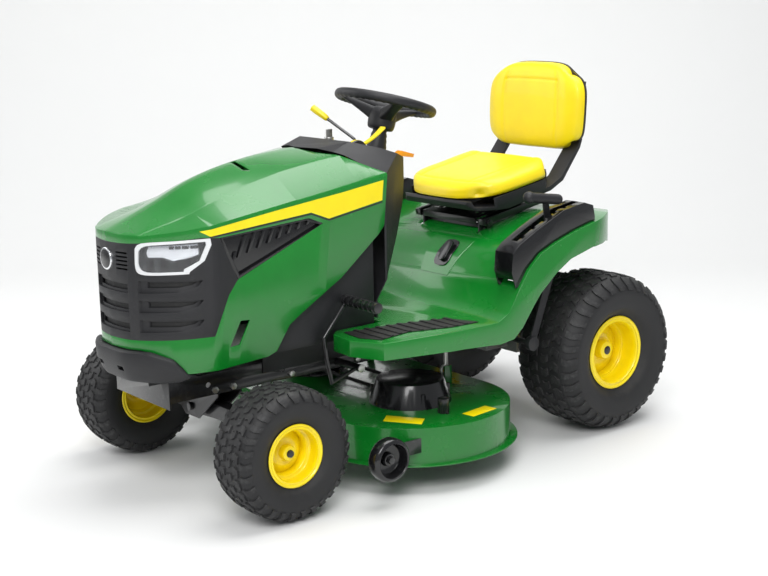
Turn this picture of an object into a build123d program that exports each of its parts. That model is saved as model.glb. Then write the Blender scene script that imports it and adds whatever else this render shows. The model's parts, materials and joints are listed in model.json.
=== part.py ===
from build123d import *
import math
import os

# All lengths are millimetres. The front of the machine faces -Y, +X is the machine's left side.
# The model is built with the rear axle at Y = 0 and is moved to its own origin when it is written.

# Overall layout
WHEELBASE = 1248.0
FRONT_TRACK = 797.0
REAR_TRACK = 728.0
FLOOR_Z = 435.0
HOOD_HALF_WIDTH = 240.0
FENDER_HALF_WIDTH = 472.0

# Clearances
BODY_GAP = 0.3
RUNNING_FIT = 0.05
SIDE_PLAY = 0.5

# Front wheels
FRONT_TYRE_RADIUS = 186.0
FRONT_TYRE_WIDTH = 166.0
FRONT_BEAD_RADIUS = 76.0
FRONT_FLANGE_RADIUS = 87.0
FRONT_RIM_HALF_WIDTH = 66.0
SPINDLE_SHAFT_RADIUS = 9.5

# Rear wheels
REAR_TYRE_RADIUS = 252.0
REAR_TYRE_WIDTH = 250.0
REAR_BEAD_RADIUS = 101.0
REAR_FLANGE_RADIUS = 117.0
REAR_RIM_HALF_WIDTH = 98.0
REAR_SHAFT_RADIUS = 12.7

# Frame
RAIL_HALF_SPAN = 150.0
RAIL_BOTTOM_Z = 300.0
RAIL_HEIGHT = 62.0
RAIL_FLANGE = 34.0
FRAME_PLATE = 5.0
FRAME_FRONT_Y = -1440.0
FRAME_REAR_Y = 205.0
RAIL_TOP_Z = RAIL_BOTTOM_Z + RAIL_HEIGHT

# Front axle
AXLE_Z = 232.0
AXLE_TUBE = 44.0
AXLE_PIVOT_RADIUS = 12.0
KINGPIN_X = 298.0
KINGPIN_RADIUS = 8.0
TIE_ARM_LENGTH = 95.0
TIE_ROD_RADIUS = 5.5
LINK_PIN_RADIUS = 6.0

# Steering column and wheel
COLUMN_TILT = 16.2
WHEEL_CENTRE_Y = -551.0
WHEEL_CENTRE_Z = 1056.0
GRIP_CIRCLE_RADIUS = 146.0
GRIP_RADIUS = 15.0
COLUMN_RADIUS = 9.0
GEAR_MODULE = 4.0
PINION_TEETH = 12
SECTOR_TEETH = 60
GEAR_PRESSURE_ANGLE = 25.0
GEAR_BACKLASH = 0.35
GEAR_WIDTH = 14.0
SECTOR_SWEEP = 108.0

# Hood
HOOD_WALL = 4.0
HOOD_FRONT_Y = -1530.0
HOOD_HINGE_Y = -1480.0
HOOD_HINGE_Z = 374.0
HOOD_HINGE_RADIUS = 6.0

# Fender body
FENDER_WALL = 4.0
FENDER_REAR_Y = 160.0

# Seat
SEAT_HALF_WIDTH = 214.0
SEAT_SLOPE = 10.0
SEAT_PLATE_HALF_WIDTH = 168.0
SEAT_PLATE_DEPTH = 232.0
SEAT_PLATE_THICKNESS = 20.0
SEAT_HINGE_Y = -278.0
SEAT_HINGE_Z = 668.0
SEAT_HINGE_RADIUS = 5.0
STRAP_WIDTH = 60.0

# Mower deck
DECK_TOP_Z = 188.0
DECK_WALL = 3.0
DECK_SKIRT_Z = 84.0
DECK_CENTRE_Y = -682.0
DECK_HALF_DEPTH = 300.0
DECK_LIP = 22.0
SPINDLE_SPAN = 256.0
BLADE_LENGTH = 505.0
BLADE_WIDTH = 55.0
BLADE_THICKNESS = 5.0
BLADE_Z = 105.0
BLADE_SHAFT_RADIUS = 10.0
GAUGE_WHEEL_RADIUS = 62.0
GAUGE_WHEEL_WIDTH = 48.0
GAUGE_WHEEL_X = 530.0
GAUGE_WHEEL_Y = -985.0
GAUGE_WHEEL_Z = 134.0
GAUGE_BOLT_RADIUS = 8.0

# Rear hitch
HITCH_PLATE_THICKNESS = 6.0
HITCH_HOLE_RADIUS = 9.5
HITCH_Z = 262.0

# Positions that follow from the sizes above
FRONT_AXLE_Y = -WHEELBASE
FRONT_WHEEL_Z = FRONT_TYRE_RADIUS
REAR_WHEEL_Z = REAR_TYRE_RADIUS
FRONT_WHEEL_X = FRONT_TRACK / 2
REAR_WHEEL_X = REAR_TRACK / 2
FRONT_HUB_OUTER = FRONT_WHEEL_X + 34.0
KINGPIN_LOW = AXLE_Z - 30.0
KINGPIN_HIGH = AXLE_Z + 30.0
ARM_Z = KINGPIN_HIGH + SIDE_PLAY
LINK_Z = ARM_Z - SIDE_PLAY - 7
DRAG_Z = ARM_Z + 8 + SIDE_PLAY + 7
SECTOR_Z = RAIL_BOTTOM_Z + FRAME_PLATE + 4.0
COLUMN_JOINT_Z = 480.0
COLUMN_LENGTH = (WHEEL_CENTRE_Z - COLUMN_JOINT_Z) / math.cos(math.radians(COLUMN_TILT))
COLUMN_FOOT_Y = WHEEL_CENTRE_Y - COLUMN_LENGTH * math.sin(math.radians(COLUMN_TILT))
GEAR_CENTRES = GEAR_MODULE * (SECTOR_TEETH - PINION_TEETH) / 2
SECTOR_PIVOT_Y = COLUMN_FOOT_Y - GEAR_CENTRES
LIFT_ARM = 150.0
LINK_DROP = 100.0
ROCKSHAFT_RADIUS = 9.0
LIFT_X = 417.0
LIFT_PIVOT = (LIFT_X, -330.0, 330.0)
CONSOLE_X0 = 384.0
CONSOLE_X1 = 462.0
BRAKE_PIVOT_Y = -872.0
BRAKE_PIVOT_Z = 320.0
HOOD_LUG_X = 100.0
CHUTE_HINGE_X = -470.0
CHUTE_FRONT_Y = -915.0
CHUTE_REAR_Y = -716.0
CHUTE_REACH = 230.0
BUMPER_FRONT_Y = -1546.0
HITCH_REACH = 58.0
ORIGIN_X = (SPINDLE_SPAN + DECK_HALF_DEPTH + DECK_LIP + CHUTE_HINGE_X - CHUTE_REACH) / 2
ORIGIN_Y = (BUMPER_FRONT_Y + FRAME_REAR_Y + FRAME_PLATE + HITCH_REACH) / 2
FUEL_CAP_X = -70.0
FUEL_CAP_Y = -225.0
FUEL_NECK_TOP = 650.0


# ---------------------------------------------------------------- small helpers

def block(x0, x1, y0, y1, z0, z1):
    """Axis-aligned block between two corners."""
    size = Box(abs(x1 - x0), abs(y1 - y0), abs(z1 - z0))
    return Pos((x0 + x1) / 2, (y0 + y1) / 2, (z0 + z1) / 2) * size


def face_on(plane, points):
    """Flat face with straight edges on a plane."""
    return plane * make_face(Polyline(*points, close=True))


def prism_x(points, x0, x1):
    """Side-view (Y, Z) outline pushed from x0 to x1."""
    plane = Plane(origin=(x0, 0, 0), x_dir=(0, 1, 0), z_dir=(1, 0, 0))
    return extrude(face_on(plane, points), amount=x1 - x0)


def prism_y(points, y0, y1):
    """Front-view (X, Z) outline pushed from y0 to y1."""
    plane = Plane(origin=(0, y1, 0), x_dir=(1, 0, 0), z_dir=(0, -1, 0))
    return extrude(face_on(plane, points), amount=y1 - y0)


def prism_z(points, z0, z1):
    """Plan (X, Y) outline pushed from z0 to z1."""
    return extrude(face_on(Plane.XY.offset(z0), points), amount=z1 - z0)


def mirrored(points):
    """Half outline with x > 0 completed with its mirror image across X = 0."""
    other = [(-x, v) for x, v in reversed(points) if x > 0]
    return list(points) + other


def bar(start, end, radius):
    """Round bar between two points."""
    a = Vector(*start)
    b = Vector(*end)
    along = b - a
    plane = Plane(origin=a, z_dir=along)
    return extrude(plane * Circle(radius), amount=along.length)


def bent_bar(points, radius):
    """Round bar through a run of points with a ball at each bend."""
    pieces = bar(points[0], points[1], radius)
    for first, second in zip(points[1:-1], points[2:]):
        pieces += Pos(*first) * Sphere(radius)
        pieces += bar(first, second, radius)
    return pieces


def disc_x(x0, x1, y, z, radius):
    """Cylinder along X."""
    return bar((x0, y, z), (x1, y, z), radius)


def disc_y(x, y0, y1, z, radius):
    """Cylinder along Y."""
    return bar((x, y0, z), (x, y1, z), radius)


def disc_z(x, y, z0, z1, radius):
    """Cylinder along Z."""
    return bar((x, y, z0), (x, y, z1), radius)


def hexagon_x(x0, x1, y, z, across):
    """Hexagonal head along X."""
    plane = Plane(origin=(x0, y, z), x_dir=(0, 1, 0), z_dir=(1, 0, 0))
    return extrude(plane * RegularPolygon(across / math.sqrt(3), 6), amount=x1 - x0)


def hexagon_z(x, y, z0, z1, across):
    """Hexagonal head along Z."""
    plane = Plane(origin=(x, y, z0), x_dir=(1, 0, 0), z_dir=(0, 0, 1))
    return extrude(plane * RegularPolygon(across / math.sqrt(3), 6), amount=z1 - z0)


def flip(shape):
    """Mirror image on the other side of the machine."""
    return mirror(shape, about=Plane.YZ)


def turned_x(profile, x, y, z):
    """Ring turned about an X axis; the profile is (distance along X, radius)."""
    plane = Plane(origin=(0, 0, 0), x_dir=(1, 0, 0), z_dir=(0, -1, 0))
    ring = revolve(face_on(plane, profile), axis=Axis.X)
    return Pos(x, y, z) * ring


# ---------------------------------------------------------------- chassis

def rail():
    """Left C-section rail with its flanges turned inwards."""
    x1 = RAIL_HALF_SPAN
    x0 = x1 - FRAME_PLATE
    web = block(x0, x1, FRAME_FRONT_Y, FRAME_REAR_Y, RAIL_BOTTOM_Z, RAIL_TOP_Z)
    low = block(x1 - RAIL_FLANGE, x1, FRAME_FRONT_Y, FRAME_REAR_Y, RAIL_BOTTOM_Z, RAIL_BOTTOM_Z + FRAME_PLATE)
    top = block(x1 - RAIL_FLANGE, x1, FRAME_FRONT_Y, FRAME_REAR_Y, RAIL_TOP_Z - FRAME_PLATE, RAIL_TOP_Z)
    side = web + low + top
    for k in range(6):
        y = FRAME_FRONT_Y + 120 + k * 250
        side -= disc_x(x0 - 1, x1 + 1, y, RAIL_BOTTOM_Z + RAIL_HEIGHT / 2, 8)
    return side


def axle_pivot_plates():
    """Two cross plates that carry the front axle pivot pin between them."""
    plates = None
    z_low = AXLE_Z - 30
    for y in (FRONT_AXLE_Y - 40, FRONT_AXLE_Y + 40 - FRAME_PLATE):
        outline = [(-RAIL_HALF_SPAN + FRAME_PLATE, RAIL_TOP_Z),
                   (-RAIL_HALF_SPAN + FRAME_PLATE, RAIL_BOTTOM_Z - 10),
                   (-36, z_low), (36, z_low), (RAIL_HALF_SPAN - FRAME_PLATE, RAIL_BOTTOM_Z - 10),
                   (RAIL_HALF_SPAN - FRAME_PLATE, RAIL_TOP_Z)]
        plate = prism_y(outline, y, y + FRAME_PLATE)
        plates = plate if plates is None else plates + plate
    pin = disc_y(0, FRONT_AXLE_Y - 52, FRONT_AXLE_Y + 52, AXLE_Z, AXLE_PIVOT_RADIUS)
    return plates + pin


def frame():
    """Rails, cross members, engine plate and rear plate welded together."""
    inner = RAIL_HALF_SPAN - FRAME_PLATE
    body = rail() + flip(rail()) + axle_pivot_plates()
    body += block(-RAIL_HALF_SPAN, RAIL_HALF_SPAN, FRAME_FRONT_Y - FRAME_PLATE, FRAME_FRONT_Y, 282,
                  RAIL_TOP_Z)
    engine_plate = block(-inner, inner, -1330, -960, RAIL_TOP_Z - FRAME_PLATE, RAIL_TOP_Z)
    engine_plate -= disc_z(0, -1150, RAIL_TOP_Z - 10, RAIL_TOP_Z + 5, 45)
    body += engine_plate
    body += block(-inner, inner, -640, -600, RAIL_TOP_Z - 30, RAIL_TOP_Z)
    body += block(-inner, inner, -420, -380, RAIL_TOP_Z - 30, RAIL_TOP_Z)
    body += block(-RAIL_HALF_SPAN, RAIL_HALF_SPAN, FRAME_REAR_Y, FRAME_REAR_Y + FRAME_PLATE, 240, 420)
    for side in (-1, 1):
        post = block(side * 128, side * (128 + FRAME_PLATE), -330, -270, RAIL_TOP_Z, 600)
        body += post
    return body - disc_x(-200, 200, LIFT_PIVOT[1], LIFT_PIVOT[2], ROCKSHAFT_RADIUS + RUNNING_FIT)


def steering_bracket():
    """Cross plate that holds the lower steering shaft and the sector pin."""
    inner = RAIL_HALF_SPAN - FRAME_PLATE
    z0 = SECTOR_Z + GEAR_WIDTH + 6
    plate = block(-inner, inner, SECTOR_PIVOT_Y - 30, COLUMN_FOOT_Y + 30, z0, z0 + 6)
    plate -= disc_z(0, COLUMN_FOOT_Y, z0 - 1, z0 + 7, COLUMN_RADIUS + RUNNING_FIT)
    pin = disc_z(0, SECTOR_PIVOT_Y, SECTOR_Z - 12, z0 + 1, LINK_PIN_RADIUS + 4)
    return plate + pin


def bumper():
    """Moulded front bumper under the grille."""
    outer = [(0, BUMPER_FRONT_Y), (75, -1540), (150, -1500), (208, -1416), (208, -1392)]
    inner = [(0, -1454), (60, -1454), (120, -1454), (156, -1430), (188, -1392)]
    ring = outer + list(reversed(inner))
    left = prism_z(ring, 362, 452)
    body = left + flip(left)
    drop = prism_x([(-1600, 455), (-1502, 455), (-1450, 434), (-1413, 384), (-1380, 378), (-1380, 300),
                    (-1600, 300)],
                   -260, 260)
    body = body & drop
    body -= prism_x([(-1600, 395), (-1520, 366), (-1400, 356), (-1400, 300), (-1600, 300)], -260, 260)
    for x in (-70, 40):
        body -= block(x, x + 26, -1560, -1515, 396, 410)
    body -= disc_x(-130, 130, HOOD_HINGE_Y, HOOD_HINGE_Z, HOOD_HINGE_RADIUS + RUNNING_FIT)
    for side in (-1, 1):
        x = side * HOOD_LUG_X
        body -= block(x - 5, x + 5, HOOD_HINGE_Y - 34, -1400, 300, 500)
    return body


def hitch_plate():
    """Rear drawbar plate with its pin hole."""
    y0 = FRAME_REAR_Y + FRAME_PLATE
    plate = block(-60, 60, y0, y0 + HITCH_REACH, HITCH_Z, HITCH_Z + HITCH_PLATE_THICKNESS)
    plate += block(-60, 60, y0, y0 + HITCH_PLATE_THICKNESS, HITCH_Z, HITCH_Z + 60)
    plate -= disc_z(0, y0 + 36, HITCH_Z - 1, HITCH_Z + HITCH_PLATE_THICKNESS + 1, HITCH_HOLE_RADIUS)
    return plate


def transaxle():
    """Drive case between the rear wheels with its cooling fan and axle tubes."""
    body = block(-105, 105, -95, 85, 200, 296)
    body += disc_z(20, -30, 290, 345, 62)
    body += disc_z(20, -30, 340, 372, 74)
    body += disc_x(-190, 190, 0, REAR_WHEEL_Z, 36)
    body += block(-60, 60, -190, -90, 214, 268)
    body -= disc_x(-230, 230, 0, REAR_WHEEL_Z, REAR_SHAFT_RADIUS + RUNNING_FIT)
    return body


def engine():
    """Vertical-shaft engine block with one cylinder laid forwards."""
    body = block(-120, 120, -1300, -1010, RAIL_TOP_Z, 478)
    body += block(-75, 75, -1425, -1290, 422, 520)
    for k in range(5):
        body += block(-88, 88, -1415 + k * 24, -1409 + k * 24, 416, 526)
    body += disc_z(0, -1150, 300, RAIL_TOP_Z, 30)
    return body


def engine_shroud():
    """Blower housing on top of the engine."""
    body = disc_z(0, -1150, 478, 590, 128)
    body += block(-96, 96, -1330, -1160, 526.3, 570)
    body -= disc_z(0, -1150, 560, 591, 92)
    for k in range(8):
        a = k * math.pi / 4
        x, y = 46 * math.cos(a), 46 * math.sin(a)
        body += disc_z(x, -1150 + y, 555, 585, 6)
    return body


def air_filter():
    """Air filter canister on the right side of the engine."""
    return block(-200, -129, -1240, -1080, 500, 610)


def muffler():
    """Silencer in front of the engine with its outlet pipe."""
    body = disc_x(-130, 130, -1360, 614, 40)
    body += disc_z(114, -1360, 430, 614, 14)
    return body


def battery():
    """Battery behind the engine, under the dash."""
    body = block(-90, 90, -965, -845, 440, 600)
    for x in (-62, 62):
        body += disc_z(x, -905, 600, 612, 9)
    return body


def battery_tray():
    """Folded tray that carries the battery on the rails."""
    tray = block(-110, 110, -985, -825, 434, 439.7)
    for side in (-1, 1):
        tray += block(side * 104, side * 110, -985, -825, RAIL_TOP_Z, 434)
    return tray


def fuel_tank():
    """Fuel tank below the fender hump with its filler neck."""
    body = block(-115, 115, -345, -120, 470, 600)
    body += disc_z(FUEL_CAP_X, FUEL_CAP_Y, 600, FUEL_NECK_TOP, 24)
    body -= disc_z(FUEL_CAP_X, FUEL_CAP_Y, 560, FUEL_NECK_TOP + 1, 18)
    return body


def fuel_cap():
    """Screw cap over the filler neck."""
    z0 = FUEL_NECK_TOP + BODY_GAP
    cap = disc_z(FUEL_CAP_X, FUEL_CAP_Y, z0, z0 + 10, 32)
    cap += disc_z(FUEL_CAP_X, FUEL_CAP_Y, z0 - 12, z0, 18 - 2 * BODY_GAP)
    for k in range(12):
        a = k * math.pi / 6
        cap += disc_z(FUEL_CAP_X + 31 * math.cos(a), FUEL_CAP_Y + 31 * math.sin(a), z0, z0 + 10, 3)
    return cap


# ---------------------------------------------------------------- front axle and steering

def axle_beam():
    """Front axle beam that rocks on the frame's pivot pin."""
    half = AXLE_TUBE / 2
    end = KINGPIN_X - 8
    arch = [(0, AXLE_Z + half + 6), (90, AXLE_Z + half), (end, AXLE_Z + half - 2), (end, AXLE_Z - half + 8),
            (90, AXLE_Z - half), (0, AXLE_Z - half - 6)]
    beam = prism_y(mirrored(arch), FRONT_AXLE_Y - 20, FRONT_AXLE_Y + 20)
    beam += disc_y(0, FRONT_AXLE_Y - 34, FRONT_AXLE_Y + 34, AXLE_Z, AXLE_PIVOT_RADIUS + 9)
    for x in (-KINGPIN_X, KINGPIN_X):
        beam += disc_z(x, FRONT_AXLE_Y, KINGPIN_LOW, KINGPIN_HIGH, KINGPIN_RADIUS + 6)
    for x in (-KINGPIN_X, KINGPIN_X):
        beam -= disc_z(x, FRONT_AXLE_Y, KINGPIN_LOW - 1, KINGPIN_HIGH + 1, KINGPIN_RADIUS + RUNNING_FIT)
    beam -= disc_y(0, FRONT_AXLE_Y - 60, FRONT_AXLE_Y + 60, AXLE_Z, AXLE_PIVOT_RADIUS + RUNNING_FIT)
    return beam


def spindle_left():
    """Kingpin, stub shaft and both steering arms of the left wheel."""
    x, y = KINGPIN_X, FRONT_AXLE_Y
    part = disc_z(x, y, FRONT_WHEEL_Z, ARM_Z + 8, KINGPIN_RADIUS)
    part += disc_z(x, y, FRONT_WHEEL_Z - 11, KINGPIN_LOW - SIDE_PLAY, KINGPIN_RADIUS + 6)
    part += disc_x(x, FRONT_HUB_OUTER + 8, y, FRONT_WHEEL_Z, SPINDLE_SHAFT_RADIUS)
    part += rear_arm(x, y) + disc_z(x, y, ARM_Z, ARM_Z + 8, KINGPIN_RADIUS + 6)
    inward = block(x - TIE_ARM_LENGTH, x, y - 9, y + 9, ARM_Z, ARM_Z + 8)
    part += inward + disc_z(x - TIE_ARM_LENGTH, y, ARM_Z, ARM_Z + 24, LINK_PIN_RADIUS)
    return part + disc_z(x - TIE_ARM_LENGTH, y, ARM_Z, ARM_Z + 8, 9)


def rear_arm(x, y):
    """Steering arm that points backwards and carries a tie rod pin."""
    arm = block(x - 9, x + 9, y, y + TIE_ARM_LENGTH, ARM_Z, ARM_Z + 8)
    arm += disc_z(x, y + TIE_ARM_LENGTH, ARM_Z, ARM_Z + 8, 9)
    return arm + disc_z(x, y + TIE_ARM_LENGTH, ARM_Z - 16, ARM_Z + 4, LINK_PIN_RADIUS)


def spindle_right():
    """Kingpin, stub shaft and rear steering arm of the right wheel."""
    x, y = -KINGPIN_X, FRONT_AXLE_Y
    part = disc_z(x, y, FRONT_WHEEL_Z, ARM_Z + 8, KINGPIN_RADIUS)
    part += disc_z(x, y, FRONT_WHEEL_Z - 11, KINGPIN_LOW - SIDE_PLAY, KINGPIN_RADIUS + 6)
    part += disc_x(-FRONT_HUB_OUTER - 8, x, y, FRONT_WHEEL_Z, SPINDLE_SHAFT_RADIUS)
    return part + rear_arm(x, y) + disc_z(x, y, ARM_Z, ARM_Z + 8, KINGPIN_RADIUS + 6)


def link(start, end, z):
    """Round rod with an eye at each end for the steering arm pins."""
    sx, sy = start
    ex, ey = end
    rod = bar((sx, sy, z), (ex, ey, z), TIE_ROD_RADIUS)
    for x, y in (start, end):
        rod += disc_z(x, y, z - 7, z + 7, LINK_PIN_RADIUS + 7)
    for x, y in (start, end):
        rod -= disc_z(x, y, z - 8, z + 8, LINK_PIN_RADIUS + RUNNING_FIT)
    return rod


def tie_rod():
    """Rod between the two rear steering arms."""
    y = FRONT_AXLE_Y + TIE_ARM_LENGTH
    return link((KINGPIN_X, y), (-KINGPIN_X, y), LINK_Z)


def drag_link():
    """Rod from the left spindle to the steering sector."""
    return link((KINGPIN_X - TIE_ARM_LENGTH, FRONT_AXLE_Y), (-TIE_ARM_LENGTH, SECTOR_PIVOT_Y), DRAG_Z)


def involute_tooth(teeth, thin):
    """Outline of one external gear tooth centred on +X, thinned on each flank."""
    pitch = GEAR_MODULE * teeth / 2
    base = pitch * math.cos(math.radians(GEAR_PRESSURE_ANGLE))
    tip = pitch + GEAR_MODULE * 0.9
    start = max(base, pitch - GEAR_MODULE * 1.0)
    lead = math.radians(GEAR_PRESSURE_ANGLE)
    half = math.pi / (2 * teeth) + math.tan(lead) - lead - thin / pitch
    flank = []
    for k in range(7):
        r = start + (tip - start) * k / 6
        a = math.acos(min(1.0, base / r))
        angle = half - (math.tan(a) - a)
        flank.append((r * math.cos(angle), r * math.sin(angle)))
    root = pitch - GEAR_MODULE * 1.4
    foot = (root * math.cos(half), root * math.sin(half))
    upper = [foot] + flank
    return upper + [(x, -y) for x, y in reversed(upper)]


def toothed(teeth, angles, z0, z1):
    """Gear teeth at the given angles, without the blank."""
    outline = involute_tooth(teeth, GEAR_BACKLASH / 2)
    tooth = prism_z(outline, z0, z1)
    shape = None
    for angle in angles:
        one = Rot(0, 0, angle) * tooth
        shape = one if shape is None else shape + one
    return shape


def lower_shaft():
    """Lower steering shaft: pinion at the foot, cup of the joint at the top."""
    root = GEAR_MODULE * PINION_TEETH / 2 - GEAR_MODULE * 1.4
    angles = [90 + (k + 0.5) * 360 / PINION_TEETH for k in range(PINION_TEETH)]
    pinion = Cylinder(root + 0.5, GEAR_WIDTH, align=(Align.CENTER, Align.CENTER, Align.MIN))
    pinion += toothed(PINION_TEETH, angles, 0, GEAR_WIDTH)
    pinion = Pos(0, COLUMN_FOOT_Y, SECTOR_Z) * pinion
    shaft = disc_z(0, COLUMN_FOOT_Y, SECTOR_Z + 1, COLUMN_JOINT_Z - 24, COLUMN_RADIUS)
    cup = disc_z(0, COLUMN_FOOT_Y, COLUMN_JOINT_Z - 28, COLUMN_JOINT_Z + 6, 22)
    cup -= Pos(0, COLUMN_FOOT_Y, COLUMN_JOINT_Z) * Sphere(13.5 + BODY_GAP)
    cup -= disc_z(0, COLUMN_FOOT_Y, COLUMN_JOINT_Z, COLUMN_JOINT_Z + 10, 13.5 + BODY_GAP)
    return pinion + shaft + cup


def ring_space():
    """Outline of one tooth space of the ring sector, widened for backlash."""
    pitch = GEAR_MODULE * SECTOR_TEETH / 2
    base = pitch * math.cos(math.radians(GEAR_PRESSURE_ANGLE))
    lead = math.radians(GEAR_PRESSURE_ANGLE)
    half = math.pi / (2 * SECTOR_TEETH) + math.tan(lead) - lead + GEAR_BACKLASH / 2 / pitch
    upper = []
    for k in range(7):
        r = pitch - 1.1 * GEAR_MODULE + 2.35 * GEAR_MODULE * k / 6
        a = math.acos(base / r)
        angle = half - (math.tan(a) - a)
        upper.append((r * math.cos(angle), r * math.sin(angle)))
    return upper + [(x, -y) for x, y in reversed(upper)]


def ring_slice(inner, outer, start, end):
    """Part of a flat ring between two angles in degrees."""
    steps = 16
    arc = [math.radians(start + (end - start) * k / steps) for k in range(steps + 1)]
    outline = [(1.1 * outer * math.cos(a), 1.1 * outer * math.sin(a)) for a in arc]
    outline += [(0.5 * inner * math.cos(a), 0.5 * inner * math.sin(a)) for a in reversed(arc)]
    piece = extrude(make_face(Polyline(*outline, close=True)), amount=GEAR_WIDTH)
    piece = piece & Cylinder(outer, GEAR_WIDTH, align=(Align.CENTER, Align.CENTER, Align.MIN))
    return piece - Cylinder(inner, 3 * GEAR_WIDTH)


def sector():
    """Steering sector with teeth on the inside of its rim and a drag link arm."""
    pitch = GEAR_MODULE * SECTOR_TEETH / 2
    step = 360 / SECTOR_TEETH
    half = SECTOR_SWEEP / 2
    plate = ring_slice(pitch - 0.9 * GEAR_MODULE, pitch + 3 * GEAR_MODULE, 90 - half, 90 + half)
    space = prism_z(ring_space(), -1, GEAR_WIDTH + 1)
    count = int(half / step) - 1
    for k in range(-count, count):
        plate -= Rot(0, 0, 90 + (k + 0.5) * step) * space
    for side in (-1, 1):
        a = 90 + side * (half - 3)
        arm = block(14, pitch + GEAR_MODULE, -6, 6, 0, GEAR_WIDTH)
        plate += Rot(0, 0, a) * arm
    plate += Cylinder(24, GEAR_WIDTH, align=(Align.CENTER, Align.CENTER, Align.MIN))
    plate += extrude(face_on(Plane.XY, [(0, -14), (0, 14), (-TIE_ARM_LENGTH, 9), (-TIE_ARM_LENGTH, -9)]),
                     amount=GEAR_WIDTH)
    plate -= Cylinder(LINK_PIN_RADIUS + 4 + RUNNING_FIT, 3 * GEAR_WIDTH)
    return Pos(0, SECTOR_PIVOT_Y, SECTOR_Z) * plate


def column_frame():
    """Placement of the tilted steering column at the middle of the steering wheel."""
    return Pos(0, WHEEL_CENTRE_Y, WHEEL_CENTRE_Z) * Rot(-COLUMN_TILT, 0, 0)


def steering_shaft():
    """Upper steering shaft with the ball of the lower joint."""
    length = COLUMN_LENGTH
    shaft = Pos(0, 0, -length) * Cylinder(COLUMN_RADIUS, length - 48,
                                          align=(Align.CENTER, Align.CENTER, Align.MIN))
    ball = Pos(0, 0, -length) * Sphere(13.5)
    return column_frame() * (shaft + ball)


def steering_wheel():
    """Rim, three spokes and a deep hub."""
    ring = Torus(GRIP_CIRCLE_RADIUS, GRIP_RADIUS)
    hub = Pos(0, 0, -62) * Cone(30, 42, 50, align=(Align.CENTER, Align.CENTER, Align.MIN))
    wheel = ring + hub
    for angle in (100, 220, 340):
        side = [(22, -50), (22, -14), (GRIP_CIRCLE_RADIUS - 4, 6), (GRIP_CIRCLE_RADIUS - 4, -9)]
        plane = Plane(origin=(0, 17, 0), x_dir=(1, 0, 0), z_dir=(0, -1, 0))
        spoke = extrude(plane * make_face(Polyline(*side, close=True)), amount=34)
        wheel += Rot(0, 0, angle) * spoke
    wheel -= Pos(0, 0, -63) * Cylinder(COLUMN_RADIUS, 15, align=(Align.CENTER, Align.CENTER, Align.MIN))
    return column_frame() * wheel


# ---------------------------------------------------------------- wheels

def tyre(radius, width, bead, rim_half):
    """Hollow tyre seated between the rim flanges."""
    h = width / 2
    t = 11.0
    seat = rim_half - 6
    depth = radius - bead
    outer = [(seat, bead), (seat, bead + 0.16 * depth), (h - 4, bead + 0.38 * depth),
             (h, bead + 0.58 * depth),
             (h - 0.06 * width, bead + 0.82 * depth), (0.3 * width, radius - 5), (0.16 * width, radius)]
    inner = [(seat - t, bead), (seat - t, bead + 0.16 * depth), (h - 4 - t, bead + 0.42 * depth),
             (h - t, bead + 0.58 * depth), (h - 0.06 * width - t, bead + 0.76 * depth),
             (0.3 * width - 4, radius - 5 - t - 4), (0.16 * width, radius - t - 5)]
    loop = outer + [(-x, r) for x, r in reversed(outer)] + [(-x, r) for x, r in inner] + list(reversed(inner))
    return turned_x(loop, 0, 0, 0)


def rim(bead, flange, half, bore, hub_radius, hub_inner, hub_outer, disc_x0):
    """Pressed steel rim: flanges, bead seats, drop centre, dished disc and hub."""
    t = 3.0
    well = bead - 12
    seat = half - 6
    top = [(-half, flange), (-seat, flange), (-seat, bead), (-0.42 * half, bead), (-0.3 * half, well),
           (0.3 * half, well), (0.42 * half, bead), (seat, bead), (seat, flange), (half, flange)]
    low = [(half, flange - 4), (half - 3, bead - t), (0.42 * half - 2, bead - t), (0.3 * half - 2, well - t),
           (-0.3 * half + 2, well - t), (-0.42 * half + 2, bead - t), (-half + 3, bead - t),
           (-half, flange - 4)]
    barrel = turned_x(top + low, 0, 0, 0)
    dish = turned_x([(disc_x0, hub_radius - 1), (disc_x0, 0.55 * bead), (disc_x0 - 14, well - 1.5),
                     (disc_x0 - 18, well - 1.5), (disc_x0 - 5, 0.55 * bead), (disc_x0 - 5, hub_radius - 1)],
                     0, 0, 0)
    hub = disc_x(hub_inner, hub_outer, 0, 0, hub_radius)
    body = barrel + dish + hub
    return body - disc_x(hub_inner - 1, hub_outer + 1, 0, 0, bore)


def valve_stem(x, radius):
    """Rubber valve stem through the rim disc side."""
    a = math.radians(125)
    y, z = radius * math.cos(a), radius * math.sin(a)
    return bar((x, y, z), (x + 22, y * 0.86, z * 0.86), 4.5)


def front_rim():
    bore = SPINDLE_SHAFT_RADIUS + RUNNING_FIT
    return rim(FRONT_BEAD_RADIUS, FRONT_FLANGE_RADIUS, FRONT_RIM_HALF_WIDTH, bore, 22.0, -52.0, 34.0, 12.0)


def rear_rim():
    bore = REAR_SHAFT_RADIUS
    return rim(REAR_BEAD_RADIUS, REAR_FLANGE_RADIUS, REAR_RIM_HALF_WIDTH, bore, 30.0, -60.0, 56.0, 26.0)


def rear_shaft():
    """Left half shaft of the transaxle with its retaining head."""
    return disc_x(12, REAR_WHEEL_X + 66, 0, REAR_WHEEL_Z, REAR_SHAFT_RADIUS)


# ---------------------------------------------------------------- hood

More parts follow.
